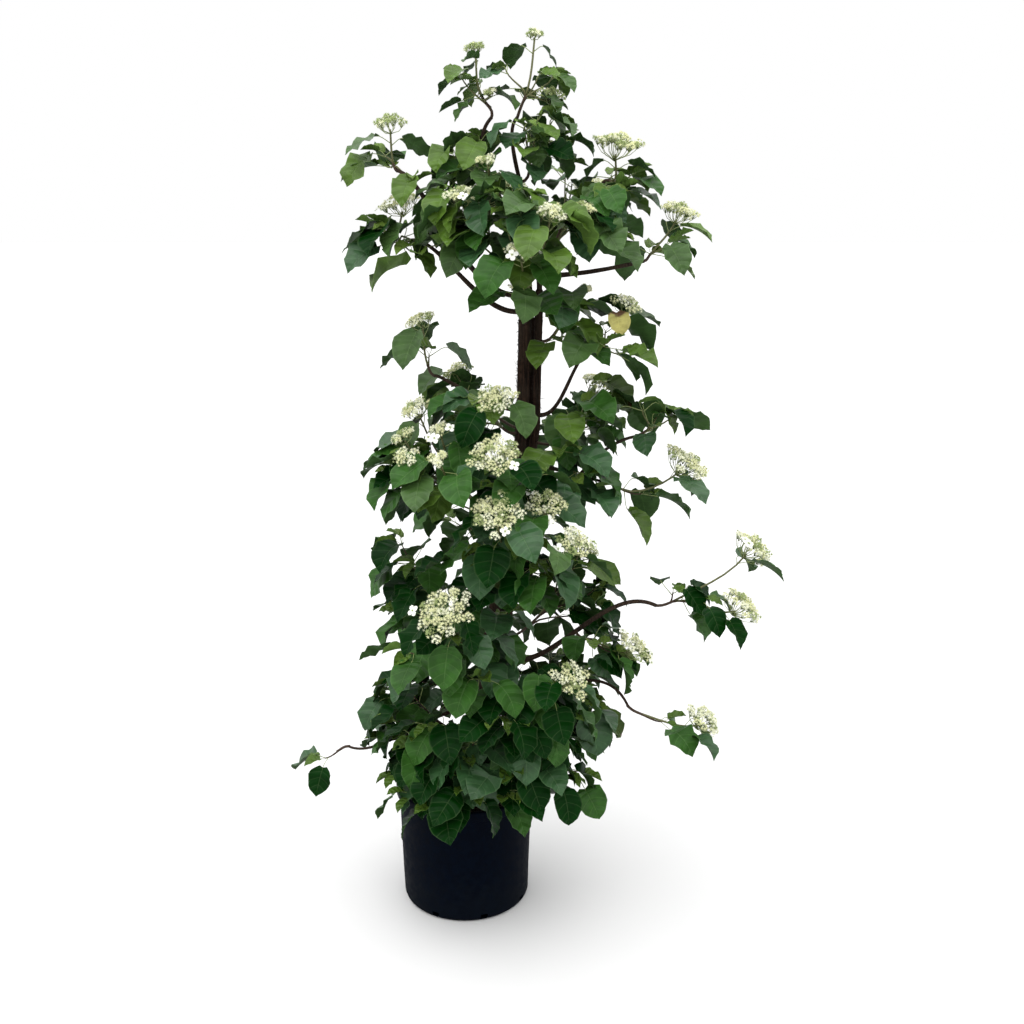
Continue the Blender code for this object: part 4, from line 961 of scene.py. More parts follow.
rooting = random.Random(f"{SEED} rootlets")
for _ in range(ROOTLETS):
    limb = limbs[rooting.choice(("stem_main", "stem_main", "stem_right", "stem_back"))]
    between = ROOTLETS_HIGH if rooting.random() < 0.7 else ROOTLETS_ALL
    share = (rooting.uniform(*between) - STEM_FOOT) / (limb.points[-1].z - STEM_FOOT)
    if share > 0.97:
        continue
    point, line = along(limb.fine, share)
    away = outward(rooting.gauss(*ROOTLETS_FACE))
    radius = float(np.interp(share, [0.1, 1], [limb.fine_radii[FLARE_ENDS], limb.fine_radii[-1]]))
    reach = rooting.uniform(0.001, 0.003) + 0.006 * rooting.random() ** 3
    foot = point + away * radius * 0.8
    end = foot + away * reach + Vector([rooting.gauss(0, wander) for wander in (0.003, 0.003, 0.007)])
    wood_pieces.lay(hair_tube, [foot, foot + away * reach * 0.8, end], ROOTLET_RADII, 2)

# %% Give the wood its bark
wood_paints = []
for wood_name, dark, light, streak_scale in (
        ("old_bark", (0.0050, 0.0030, 0.0020), (0.046, 0.025, 0.016), 1.0),
        ("bough_bark", (0.0085, 0.0055, 0.0040), (0.052, 0.033, 0.022), 1.7),
        ("rootlet", (0.0070, 0.0040, 0.0030), (0.034, 0.019, 0.013), 2.0)):
    wood_paint, tree, shader = material(wood_name, dark, 0.88, 0.12)
    here = coordinates(tree)
    strands = place(tree, fibres, here, scale=streak_scale)
    weathered = place(tree, mottle, here, scale=26.0).outputs["Mask"]
    colour = blend_colours(tree, strands.outputs["Streak"], dark, light)
    colour = blend_colours(tree, weathered, colour, (0.060, 0.048, 0.036), 0.22)
    tree.links.new(colour, shader.inputs["Base Color"])
    bump(tree, strands.outputs["Height"], shader, 0.7, 0.003)
    wood_paints.append(wood_paint)
wood = wood_pieces.make("stems_and_boughs", wood_paints)

# %% [markdown]
# ## Growing the shoots
#
# Each mass of foliage has a spine that leaves its limb, shoots that leave the spine, and tips that lie on
# an egg. The seeded draws below come in the same order as the CAD's, so shoots, heads and the first pairs
# of leaves are where the solids have them. A second, smaller egg adds finer shoots between them. That is
# where the fullness comes from, without moving the outline.

# %% Name what is finer than in the CAD
LEAF_SHRINK = 0.80  # the CAD's leaves are fewer, and larger by this much
LEAF_SCALE = {"left_high": 1.15, "left_low": 1.22, "right_long": 0.86, "right_long_inner": 0.86,
              "right_bottom": 0.90, "left_bottom": 0.86}  # the other masses have 1
LEAFY_PAIRS_FINE, HEADED_PAIRS_FINE = 3, 2
SPINE_STEPS, SHOOT_STEPS = 6, 7
SPINE_SUNK = 0.004
INNER_EGG = 0.82
OPEN_EGG = 0.040  # a mass whose egg is slimmer than this is an open spray, and gets nothing extra
# There are no finer shoots inside these:
SKY_BETWEEN = ("left_wide", "low_left", "back_mid_left", "back_mid_low", "back_low")
FINER_TIPS = {  # finer shoots where the eggs leave bare wood, and over the pot's rim
    "left_high": ((-78, 0.222, 1.668),),
    "left_low": ((-88, 0.262, 1.56), (-72, 0.245, 1.525), (-66, 0.195, 1.535)),
    "right_mid": ((79, 0.25, 1.19), (86, 0.315, 1.17)),
    "low_left": ((-1, 0.15, 0.755), (-13, 0.205, 0.715)),
    "skirt_left": ((-84, 0.226, 0.4), (-62, 0.222, 0.365)),
    "skirt_front_left": ((-43, 0.226, 0.34), (-8, 0.23, 0.38)),
    "skirt_front_right": ((14, 0.228, 0.375), (66, 0.24, 0.36)),
    "skirt_right": ((98, 0.236, 0.37),),
    "skirt_back_right": ((140, 0.228, 0.365), (168, 0.226, 0.385)),
    "skirt_back_left": ((-145, 0.228, 0.37), (-115, 0.226, 0.385)),
}
YOUTH_AT_TIP = 0.9  # how young the two leaves at a leafy shoot's tip are, from 0 to 1
YOUNG_LIFT, YOUNG_STALK, YOUNG_BLADE = 45, 0.7, 0.5  # degrees higher, and how much shorter
FEELERS = (0.42, 0.38, 0.72)  # along, across and far along the blade, in leaf lengths
HEAD_MIDDLE = 0.34  # above a head's foot, in widths of the head, like the space that it keeps clear:
HEAD_SPACE = (0.50, -0.15, 0.30)  # across, below and above its middle
print("masses with finer shoots set by hand:", list(FINER_TIPS))

# %% What a shoot bears
def egg(middle, azimuth, size, count, draws):
    """Tips of shoots, spread evenly over an egg of a width, a height and a depth."""
    out = outward(azimuth)
    side = out.cross(UP)
    phase = draws.uniform(0, 360)
    tips = []
    for i in range(count):
        height = 1 - (2 * i + 1) / count
        ring = math.sqrt(1 - height * height)
        turn = math.radians(phase + i * GOLDEN_ANGLE)
        tip = middle + side * size[0] * ring * math.cos(turn) + out * size[2] * ring * math.sin(turn)
        tips.append(tip + UP * (size[1] * height))
    return tips


class Leaf:
    """A leaf's node on its shoot, its stalk, and the blade's foot, heading, side and length."""

    def __init__(self, node, stalk_direction, stalk, heading, side, length, youth):
        self.node, self.stalk_direction, self.stalk = node, stalk_direction, stalk
        self.foot = node + stalk_direction * stalk
        self.heading, self.side, self.length, self.youth = heading, side, length, youth

    def feelers(self):
        """A few points of the blade, to try it against its neighbours."""
        tip = self.foot + self.heading * self.length
        middle = self.foot + self.heading * self.length * FEELERS[0]
        reach = self.side * self.length * FEELERS[1]
        return [middle, tip, middle + reach, middle - reach, self.foot.lerp(tip, FEELERS[2])]


class Head:
    """A flower head's foot, its axis, and two directions across it."""

    def __init__(self, tip, width, lobes):
        tilt = math.radians(HEAD_TILT[0] + HEAD_TILT[1] * clamp((HEAD_TILT_TOP - tip.z) / HEAD_TILT_DROP))
        self.axis = UP * math.cos(tilt) + away_from_bundle(tip) * math.sin(tilt)
        self.side = self.axis.cross(Vector((0.3, 1, 0.2))).normalized()
        self.across = self.axis.cross(self.side)
        self.foot = tip - self.axis * HEAD_SINK * width
        self.middle = self.foot + self.axis * HEAD_MIDDLE * width
        self.width, self.lobes = width, lobes

    def beside(self, turn, reach=1.0):
        return self.side * reach * math.cos(turn) + self.across * reach * math.sin(turn)

    def holds(self, point):
        off = point - self.middle
        height = off.dot(self.axis)
        across, below, above = HEAD_SPACE
        return (off - self.axis * height).length < across * self.width and below < height / self.width < above


def grow_leaf(node, stalk_direction, draws, youth=0.0):
    level = Vector((stalk_direction.x, stalk_direction.y, 0.0))
    level = (level + away_from_bundle(node) * OUTWARD_PULL).normalized()
    high = clamp((node.z - DROOP_FLOOR) / DROOP_RISE)
    least, most = (low + (top - low) * high for low, top in zip(DROOP_LOW, DROOP_HIGH))
    droop = math.radians(draws.uniform(least, most))
    if youth > 0.5:
        droop -= math.radians(YOUNG_LIFT * youth)
    share = 1 - LEAF_LENGTH_DROP * clamp((node.z - LEAF_DROP_FROM) / LEAF_DROP_OVER)
    heading = level * math.cos(droop) - UP * math.sin(droop)
    roll = Matrix.Rotation(math.radians(draws.uniform(-BLADE_ROLL, BLADE_ROLL)), 3, heading)
    side = roll @ heading.cross(UP).normalized()
    stalk = draws.uniform(*STALK_LENGTH) * share * (1 - YOUNG_STALK * youth)
    length = draws.uniform(*LEAF_LENGTH) * share * LEAF_SHRINK * (1 - YOUNG_BLADE * youth)
    return Leaf(node, stalk_direction, stalk, heading, side, length, youth)


def pairs_on(coarse, fine, headed, first, last, draws, youth=0.0):
    """Pairs of leaves from number `first` up to `last`, each crosswise to the one before."""
    length = length_of(coarse)
    phase = draws.uniform(-PAIR_PHASE, PAIR_PHASE)
    grown = []
    for k in range(first, last):
        back = (NODE_BELOW_HEAD if headed else NODE_BELOW_TIP) + k * PAIR_SPACING
        if back > LEAFY_SHARE * length:
            break
        line = along(coarse, 1 - back / length)[1]
        node = along(fine, 1 - back / length)[0]
        level = line.cross(UP).normalized()
        roll = math.radians(phase + 90 * k + draws.uniform(-PAIR_ROLL, PAIR_ROLL))
        for side in (1, -1):
            across = Matrix.Rotation(roll, 3, line) @ (level * side)
            stalk_direction = (line * STALK_ALONG + across * STALK_ACROSS).normalized()
            grown.append(grow_leaf(node + line * side * STAGGER / 2, stalk_direction, draws, youth))
    return grown


# %% Grow every mass
class Mass:
    """The spine, shoots and heads of a mass of foliage, and the leaves that may find room on it."""

    def __init__(self, name, carrier, z, middle, size, leafy, heads):
        draws, finer = random.Random(f"{SEED} {name}"), random.Random(f"{SEED} {name} finer")
        dense = size[0] > OPEN_EGG
        self.middle = station(*middle)
        ends = [(station(*head[:3]), head[3]) for head in heads]
        ends += [(tip, 0.0) for tip in egg(self.middle, middle[0], size, leafy, draws)]
        start, direction = carrier.start_of_branch(z, self.middle)
        hub = start.lerp(self.middle, SPINE_SHARE)
        run = (hub - start).length
        bends = (start, start + direction * SPINE_PULL * run, hub.lerp(start, SPINE_EASE), hub)
        coarse = cubic(*bends, SPINE_STATIONS)
        square_off(coarse, direction)
        self.spine = [start - direction * SPINE_SUNK] + cubic(*bends, SPINE_STEPS)
        self.shoots = [(*self.shoot(tip, coarse, draws), width) for tip, width in ends]
        self.room = SPACE_MARGIN + max((tip - self.middle).length for tip, _ in ends)
        self.heads = [Head(line[-1], width, [draws.uniform(*LOBE_REACH) for _ in range(HEAD_LOBES)])
                      for line, _, width in self.shoots if width]
        self.leaves, self.extra = [], []
        for line, fine, width in self.shoots:
            given = PAIRS_HEADED if width else PAIRS_LEAFY
            full = (HEADED_PAIRS_FINE if width else LEAFY_PAIRS_FINE) if dense else given
            self.leaves += pairs_on(line, fine, width > 0, 0, given, draws)
            self.extra += pairs_on(line, fine, width > 0, given, full, finer)
        inner = [half * INNER_EGG for half in size]
        more = leafy // 2 + 1 if dense and name not in SKY_BETWEEN else 0
        set_by_hand = [station(*place) for place in FINER_TIPS.get(name, ())]
        for tip in egg(self.middle, middle[0], inner, more, finer) + set_by_hand:
            line, fine = self.shoot(tip, coarse, finer)
            self.shoots.append((line, fine, 0.0))
            self.extra += pairs_on(line, fine, False, 0, LEAFY_PAIRS_FINE, finer)
        for fine in [fine for _, fine, width in self.shoots if not width]:
            line = (fine[-1] - fine[-2]).normalized()
            for side in (1, -1):
                across = (Matrix.Rotation(finer.uniform(-1, 1), 3, line) @ line.cross(UP)).normalized()
                stalk_direction = (line + across * side * 0.7).normalized()
                self.extra.append(grow_leaf(fine[-1], stalk_direction, finer, YOUTH_AT_TIP))
        for leaf in self.leaves + self.extra:
            leaf.length *= LEAF_SCALE.get(name, 1.0)

    def shoot(self, tip, spine, draws):
        """A shoot from the spine to its tip, as the CAD has it and finer."""
        foot, line = along(spine, SHOOT_SPAN[0] + SHOOT_SPAN[1] * draws.random())
        run = (tip - foot).length
        low = tip - UP * (SHOOT_DIP * run)
        bends = (foot, foot + line * SHOOT_PULL * run, low.lerp(foot, SHOOT_EASE), tip)
        return cubic(*bends, SHOOT_STATIONS), cubic(*bends, SHOOT_STEPS)


masses = [Mass(name, limbs[row[0]], *row[1:]) for name, row in MASSES.items()]
print("shoots:", sum(len(mass.shoots) for mass in masses), "heads:", sum(len(mass.heads) for mass in masses))

# %% Let each leaf find room
LEAF_APART = 0.34  # between the middles of two blades, as a share of the leaf's length
BARK_CLEAR = 0.005
RIM_CLEAR = 0.006


def tree_of(points):
    """A search tree over numbered points."""
    search = KDTree(len(points))
    for number, point in enumerate(points):
        search.insert(point, number)
    search.balance()
    return search


candidates = [(leaf, mass) for mass in masses for leaf in mass.leaves]
candidates += [(leaf, mass) for mass in masses for leaf in mass.extra]
middles = tree_of([leaf.feelers()[0] for leaf, _ in candidates])
bark_points = [pair for limb in limbs.values() for pair in zip(limb.fine, limb.fine_radii)]
bark_tree = tree_of([point for point, _ in bark_points])
all_heads = [head for mass in masses for head in mass.heads]


def has_room(leaf, mass):
    for point in leaf.feelers():
        if point.z < LOWEST_LEAF or (point - mass.middle).length > mass.room:
            return False
        if point.z < POT_HEIGHT + RIM_CLEAR and math.hypot(point.x, point.y) < RIM_RADIUS + RIM_CLEAR:
            return False
        _, nearest, distance = bark_tree.find(point)
        if distance < bark_points[nearest][1] + BARK_CLEAR:
            return False
        if any(head.holds(point) for head in all_heads):
            return False
    return True


taken, leaves = set(), []
for number, (leaf, mass) in enumerate(candidates):
    apart = LEAF_APART * leaf.length
    near = [other for _, other, _ in middles.find_range(leaf.feelers()[0], apart)]
    if taken.isdisjoint(near) and has_room(leaf, mass):
        taken.add(number)
        leaves.append(leaf)
print("leaves:", len(leaves), "of", len(candidates), "tried")

# %% [markdown]
# ## A leaf
#
# The leaf is broad and heart-shaped at its foot, and ends in a short narrow tip. A grid of two by twelve
# faces is enough for the outline, the fold along the midrib and the pleats. Each row is moved to its place
# and resized to the leaf's width there, and its ends lean towards the tip, as side veins do. Every other
# row lies between two veins: it is a little narrower, for the toothed edge, and raised, for the pleat. The
# corners of the foot are pulled back into lobes. Solidify makes it a thin closed solid whose underside has
# its own material slot. Fold, twist, ripple and sag come with each copy, so no two leaves are alike.

# %% Model one leaf
ROW_PLACES = (0.0, 0.05, 0.13, 0.23, 0.34, 0.46, 0.58, 0.69, 0.785, 0.865, 0.925, 0.967, 1.0)
ROW_WIDTHS = (0.15, 0.295, 0.385, 0.432, 0.448, 0.440, 0.408, 0.346, 0.258, 0.160, 0.080, 0.032, 0.004)
TOOTH = 0.022  # how much narrower every other row is
PLEAT = 0.026  # and how much its ends are raised
VEIN_LEAN = 0.11
FOOT_LOBE = 0.050
BLADE_THICKNESS = 0.006
FAR = 10  # rows that are done wait this far away

bpy.ops.mesh.primitive_grid_add(x_subdivisions=2, y_subdivisions=12, size=1, location=(0, 0.5, 0))
blade = bpy.context.object
bpy.ops.object.transform_apply()
start_edit(blade)
for row in range(len(ROW_PLACES) - 1, -1, -1):
    was = row / (len(ROW_PLACES) - 1)
    pick(blade, lambda co: abs(co.y - was) < 0.001)
    lean = VEIN_LEAN * math.sin(math.pi * ROW_PLACES[row])
    width = 2 * float(np.interp(ROW_PLACES[row] + lean, ROW_PLACES, ROW_WIDTHS)) * (1 - TOOTH * (row % 2))
    bpy.ops.transform.resize(value=(width, 1, 1), center_override=(0, was, 0))
    bpy.ops.transform.translate(value=(0, FAR + ROW_PLACES[row] - was, 0))
    pick(blade, lambda co: abs(co.y - FAR - ROW_PLACES[row]) < 0.001 and abs(co.x) > 0.001)
    bpy.ops.transform.translate(value=(0, lean, PLEAT * (row % 2) * min(1, 2 * width)))
bpy.ops.mesh.select_all(action="SELECT")
bpy.ops.transform.translate(value=(0, -FAR, 0))
pick(blade, lambda co: co.y < 0.01 and abs(co.x) > 0.05)
bpy.ops.transform.translate(value=(0, -FOOT_LOBE, 0))
end_edit()
for slot_name in ("blade_top", "blade_under"):
    blade.data.materials.append(bpy.data.materials.new(slot_name))
apply_modifier(blade, "SOLIDIFY", thickness=BLADE_THICKNESS, offset=-1, material_offset=1)
blade_shape = Shape(blade)
print("slots used by the blade:", sorted(set(blade_shape.slots.tolist())))

# %% Shape one blade
FOLD = (0.06, 0.50)
SAG = (10, 78)  # degrees from foot to tip
TWIST = 0.28
RIPPLE, BEATS = (0.03, 0.10), (1.6, 3.2)
BREADTH = (0.84, 1.02)
BROWNED_SHARE = 0.006  # of the leaves


def grown_blade(leaf, draws):
    """The blade's points: folded along the midrib, rippled, twisted and bent down towards its tip."""
    x, y, z = blade_shape.points.T.copy()
    fold = draws.uniform(*FOLD) + 0.4 * leaf.youth
    sag = math.radians(draws.uniform(*SAG) * (1 - 0.6 * leaf.youth))
    twist = draws.gauss(0, TWIST)
    ripple, beat, phase = draws.uniform(*RIPPLE), draws.uniform(*BEATS), draws.uniform(0, 6.28)
    x *= draws.uniform(*BREADTH) * (1 - 0.25 * leaf.youth)
    edge = np.abs(x)
    z += fold * edge - 0.45 * fold * edge**2 + ripple * np.sin(beat * math.tau * y + phase) * edge * 2.2
    x, z = x * math.cos(twist) - z * np.sin(twist * y), z + x * np.sin(twist * y)
    bend = sag * y
    x, y, z = x, np.sin(bend) / sag - z * -np.sin(bend), -(1 - np.cos(bend)) / sag + z * np.cos(bend)
    heading = Matrix.Rotation(sag / 2, 3, leaf.side) @ leaf.heading
    turned_by = np.array(Matrix((leaf.side, heading, leaf.side.cross(heading))))
    return np.stack((x, y, z), axis=1) @ turned_by * leaf.length + np.array(tuple(leaf.foot)), heading


def leaf_kind(leaf, draws):
    """Young leaves are fresh. Low ones are more often deep green, a painted shade; high ones pale, a painted
    light; bluish ones, more of them high up, partly a painted sky reflection.
    """
    height = (leaf.foot.z - 0.4) / 1.4
    if leaf.youth:
        return "leaf_young" if draws.random() < 0.25 + 0.6 * height else "leaf_fresh"
    throw = draws.random()
    if throw < BROWNED_SHARE:
        return "leaf_browned"
    if throw < 0.50 * (height - 0.20):
        return "leaf_fresh"
    # bluish green, dealt more often high up: partly a painted sky reflection; its higher shine is real
    if throw < 0.18 + 0.40 * height:
        return "leaf_blue"
    # deep green, dealt more often the lower the leaf: painted shade
    if draws.random() < 0.76 - 0.76 * height:
        return "leaf_deep"
    # pale green, dealt only high up and more so towards the top: painted light in the crown
    return "leaf_pale" if draws.random() < 1.3 * height - 0.40 else "leaf_mid"


LEAF_TOPS = {  # colour, and how much they shine
    # a very dark green, partly the leaf's own and partly painted shade for the low leaves
    "leaf_deep": ((0.0014, 0.0215, 0.0014), 0.05),
    "leaf_mid": ((0.0240, 0.0800, 0.0105), 0.13),
    # bluish tint: a painted reflection of the sky on upper leaves; the shine value is real
    "leaf_blue": ((0.0250, 0.0740, 0.0235), 0.28),
    "leaf_fresh": ((0.0600, 0.1180, 0.0130), 0.20),
    "leaf_young": ((0.0950, 0.1600, 0.0240), 0.20),
    "leaf_yellow": ((0.380, 0.350, 0.110), 0.15),
    "leaf_browned": ((0.034, 0.062, 0.010), 0.10),
    # a lighter green that stands in for the crown's stronger light: painted light
    "leaf_pale": ((0.0420, 0.0900, 0.0210), 0.20),
}
LEAF_UNDERS = {"underside": (0.034, 0.078, 0.020), "underside_fresh": (0.070, 0.130, 0.024)}
LEAF_SLOTS = {name: slot for slot, name in enumerate([*LEAF_TOPS, *LEAF_UNDERS])}
print("kinds of leaf:", LEAF_SLOTS)

# %% Place every leaf
LOWER_LEAVES_UP_TO = 1.0
YELLOW_LEAF_AT = station(57, 0.200, 1.375)  # one old leaf below the collar's flower head has turned
YELLOW_LEAF_SIZE = 0.62  # it has also stayed small
STALK_RADII = (0.0012, 0.0009, 0.0008, 0.0008, 0.0008)
TWIG_FOOT, TWIG_TIP, TWIG_TIP_HEADED = 0.0026, 0.0014, 0.0021

leafing = random.Random(f"{SEED} blades")
yellow_leaf = min(leaves, key=lambda leaf: (leaf.feelers()[0] - YELLOW_LEAF_AT).length)
yellow_leaf.length *= YELLOW_LEAF_SIZE
blades = {"upper_leaves": Gathering(), "lower_leaves": Gathering()}
green_wood = Gathering()
for leaf in leaves:
    points, heading = grown_blade(leaf, leafing)
    kind = leaf_kind(leaf, leafing)
    under = "underside_fresh" if kind in ("leaf_young", "leaf_fresh") else "underside"
    top = "leaf_yellow" if leaf is yellow_leaf else kind
    part = "upper_leaves" if leaf.foot.z > LOWER_LEAVES_UP_TO else "lower_leaves"
    blades[part].add(blade_shape, points, LEAF_SLOTS[top], LEAF_SLOTS[under])
    bends = (leaf.node - leaf.stalk_direction * 0.001, leaf.node + leaf.stalk_direction * leaf.stalk * 0.5,
             leaf.foot - heading * leaf.stalk * 0.3, leaf.foot + heading * 0.004)
    radii = [radius * (1 - 0.4 * leaf.youth) for radius in STALK_RADII]
    green_wood.lay(stalk_tube, cubic(*bends, 5), radii + [0.0006], 2)
for mass in masses:
    green_wood.lay(twig_tube, mass.spine, taper(len(mass.spine), *SPINE_RADII))
    for _, fine, width in mass.shoots:
        radii = taper(len(fine), TWIG_FOOT, TWIG_TIP_HEADED if width else TWIG_TIP)
        green_wood.lay(twig_tube, fine, radii, 1 if fine[-1].z > 1.0 or width else 0)
print("blades:", sum(part.triangles for part in blades.values()), "triangles")

# %% [markdown]
# ## Leaf colour
#
# What makes foliage look alive is that the leaves differ. Seven plain greens and a yellow were dealt out
# leaf by leaf through the material slots, so any program that reads the model sees them too. Three greens
# are dealt by height and carry painted light: the deep green low down is painted shade, the pale green in
# the crown is painted light, and the bluish green, more common high up, is partly a painted sky reflection.
# On top of the plain colour come the things that vary over one blade: pale veins and quilting from the UV
# map, and a mottle from its place. The underside is paler and duller, as it is on the plant.

# %% Make the leaf materials
MARGIN_PALE = 0.22  # how much of the veins' colour the toothed edge has
VEIN_PALE = (0.26, 0.34, 0.17)
BROWN = (0.095, 0.050, 0.026)
BROWN_BETWEEN = {"leaf_yellow": (0.50, 0.34), "leaf_browned": (0.95, 1.1)}  # along the leaf, made ragged


def leaf_material(name, colour, roughness, shine, vein_colour, vein_amount, bump_strength):
    made, tree, shader = material(name, colour, roughness, shine)
    uv = coordinates(tree, "UV")
    pattern = place(tree, veins, uv, pairs=6.0).outputs
    patchy = place(tree, mottle, coordinates(tree), scale=34.0).outputs["Mask"]
    base = blend_colours(tree, patchy, tinted(colour, 0.80), tinted(colour, 1.15))
    base = blend_colours(tree, pattern["Vein"], base, vein_colour, vein_amount)
    base = blend_colours(tree, pattern["Margin"], base, vein_colour, MARGIN_PALE)
    if name in BROWN_BETWEEN:
        ragged = noise_node(tree, coordinates(tree), 60.0)
        reach = math_node(tree, "MULTIPLY_ADD", ragged, 0.5, split(tree, uv)[1])
        base = blend_colours(tree, smooth_step(tree, reach, *BROWN_BETWEEN[name]), base, BROWN)
    tree.links.new(base, shader.inputs["Base Color"])
    bump(tree, pattern["Height"], shader, bump_strength, 0.004)
    return made


leaf_paints = []
for leaf_name, (leaf_colour, shine) in LEAF_TOPS.items():
    vein_colour = tuple(value * 1.6 + pale * 0.35 for value, pale in zip(leaf_colour, VEIN_PALE))
    leaf_paints.append(leaf_material(leaf_name, leaf_colour, 0.42, shine, vein_colour, 0.23, 0.40))
for leaf_name, leaf_colour in LEAF_UNDERS.items():
    leaf_paints.append(leaf_material(leaf_name, leaf_colour, 0.62, 0.10, tinted(leaf_colour, 1.5), 0.5, 0.2))
leaf_pieces = [part.make(part_name, leaf_paints) for part_name, part in blades.items()]
for piece in leaf_pieces:
    select_only(piece)
    bpy.ops.object.shade_smooth_by_angle(angle=math.radians(60))
print("leaf materials:", [paint.name for paint in leaf_paints])

# %% [markdown]
# ## Twigs and stalks
#
# Last year's twigs are brown, this year's are green flushed with brown, and leaf stalks are pale. They
# are thin, so colour does most of the work. All of them were laid with the same tubes as the stems.

# %% Make the twigs
TWIG_LOOKS = {"brown_twig": ((0.050, 0.030, 0.018), 0.8), "green_twig": ((0.115, 0.120, 0.045), 0.6),
              "leaf_stalk": ((0.240, 0.300, 0.105), 0.5)}  # colour and roughness
twig_paints = [patterned(name, colour, rough, 0.35, fibres, 2.2, tinted(colour, 0.7), tinted(colour, 1.2))[0]
               for name, (colour, rough) in TWIG_LOOKS.items()]
twigs = green_wood.make("twigs_and_stalks", twig_paints)

# %% [markdown]
# ## Flower heads
#
# A head is a flat cluster of clusters. Rays leave the shoot's tip like the ribs of an umbrella, and each
# ends in a small dome of fertile flowers, a few millimetres each, with a tuft of stamens. At the rim
# stand a few showy flowers of four white sepals. One small flower is modelled from an icosphere whose
# upper faces are poked out into stamens, and one showy flower from a petal that is turned four times.

# %% Model the flowers
bpy.ops.mesh.primitive_ico_sphere_add(subdivisions=1, radius=0.72, location=(0, 0, 0))
floret = bpy.context.object
bpy.ops.object.transform_apply()
start_edit(floret, "FACE")
shape = bmesh.from_edit_mesh(floret.data)
for face in shape.faces:
    face.select_set(face.calc_center_median().z > 0.07)
bmesh.update_edit_mesh(floret.data)
bpy.ops.mesh.poke(offset=1.90)
pick(floret, lambda co: co.z < -0.15)
bpy.ops.transform.resize(value=(0.45, 0.45, 1.2), center_override=(0, 0, 0))
end_edit()
floret_shape = Shape(floret)

bpy.ops.mesh.primitive_grid_add(x_subdivisions=2, y_subdivisions=3, size=1, location=(0, 0.5, 0))
sepal = bpy.context.object
bpy.ops.object.transform_apply()
start_edit(sepal)
for was, width in ((0.0, 0.12), (1 / 3, 0.72), (2 / 3, 0.92), (1.0, 0.42)):
    pick(sepal, lambda co: abs(co.y - was) < 0.01)
    bpy.ops.transform.resize(value=(width, 1, 1), center_override=(0, was, 0))
pick(sepal, lambda co: abs(co.x) < 0.01)
bpy.ops.transform.translate(value=(0, 0, -0.10))
bpy.ops.mesh.select_all(action="SELECT")
bpy.ops.transform.translate(value=(0, 0.06, 0))
for _ in range(3):
    bpy.ops.mesh.duplicate()
    bpy.ops.transform.rotate(value=math.radians(90), orient_axis="Z", center_override=(0, 0, 0))
end_edit()
apply_modifier(sepal, "SOLIDIFY", thickness=0.05)
showy_shape = Shape(sepal)

# %% Build every head
FLORETS_PER_CLUSTER = (11, 16)
CLUSTER_PITCH = 0.0235  # between clusters on a head
FLORET_SIZE, SHOWY_SIZE, SHOWY_EYE = (0.0013, 0.0023), (0.0085, 0.0125), 0.0016
SHOWY_COUNTS = (0, 0, 0, 1, 1, 2, 3)
SHOWY_FROM = 0.055  # the narrowest head with showy flowers
RAY_RADII, SHOWY_RAY_RADII = (0.0011, 0.0009, 0.0008, 0.0007), (0.0009, 0.0007, 0.0006, 0.0005)
HAIR_RADII = (0.0004, 0.0004, 0.0003)
GREEN_ABOVE = 1.66
UPPER_FROM = 1.1
GOLDEN_TURN = math.radians(GOLDEN_ANGLE)
CREAM, IVORY, GREENISH, WHITE = range(4)  # the slots of the flowers' colours

heading_draws = random.Random(f"{SEED} heads")
blossoms = {"upper_blossom": Gathering(), "lower_blossom": Gathering()}
rays = Gathering()
counts = {"florets": 0, "showy": 0}


def add_flower(into, shape, axis, draws, size, spot, slot):
    """A flower that faces along an axis, turned any way round it."""
    axis = axis.normalized()
    side = axis.cross(Vector([draws.uniform(-1, 1) for _ in range(3)])).normalized()
    turned_by = np.array(Matrix((side, axis.cross(side), axis)))
    into.add(shape, shape.points @ turned_by * size + np.array(tuple(spot)), slot)


def build_cluster(head, top, turn, spread, green, draws, into):
    """A ray that ends in a small dome of florets; high up more of them are green."""
    out = (top - head.foot).normalized()
    fork = top - (out * 0.4 + head.axis * 0.6) * spread * 1.1
    low = head.foot + head.axis * 0.04 * head.width + (fork - head.foot) * 0.1
    rays.lay(ray_tube, cubic(head.foot, low, fork - head.axis * 0.12 * head.width, fork, 3), RAY_RADII)
    tone = draws.random()
    slot = GREENISH if tone < 0.16 + 0.62 * green else (IVORY if tone < 0.52 + 0.38 * green else CREAM)
    for j in range(draws.randint(*FLORETS_PER_CLUSTER)):
        level = 1 - (j + draws.uniform(0.1, 0.9)) / FLORETS_PER_CLUSTER[1] * 1.15
        ring = math.sqrt(max(0.0, 1 - level * level))
        way = head.axis * max(level, -0.1) + head.beside(GOLDEN_TURN * j + turn, ring)
        spot = top + way * spread * draws.uniform(0.45, 0.92) - head.axis * spread * 0.25
        size = draws.uniform(*FLORET_SIZE)
        own = slot if draws.random() < 0.8 else draws.choice((CREAM, IVORY, GREENISH))
        add_flower(into, floret_shape, way + head.axis * 0.3, draws, size, spot, own)
        rays.lay(hair_tube, [fork, fork.lerp(spot, 0.6) + way * 0.0008, spot], HAIR_RADII)
        counts["florets"] += 1


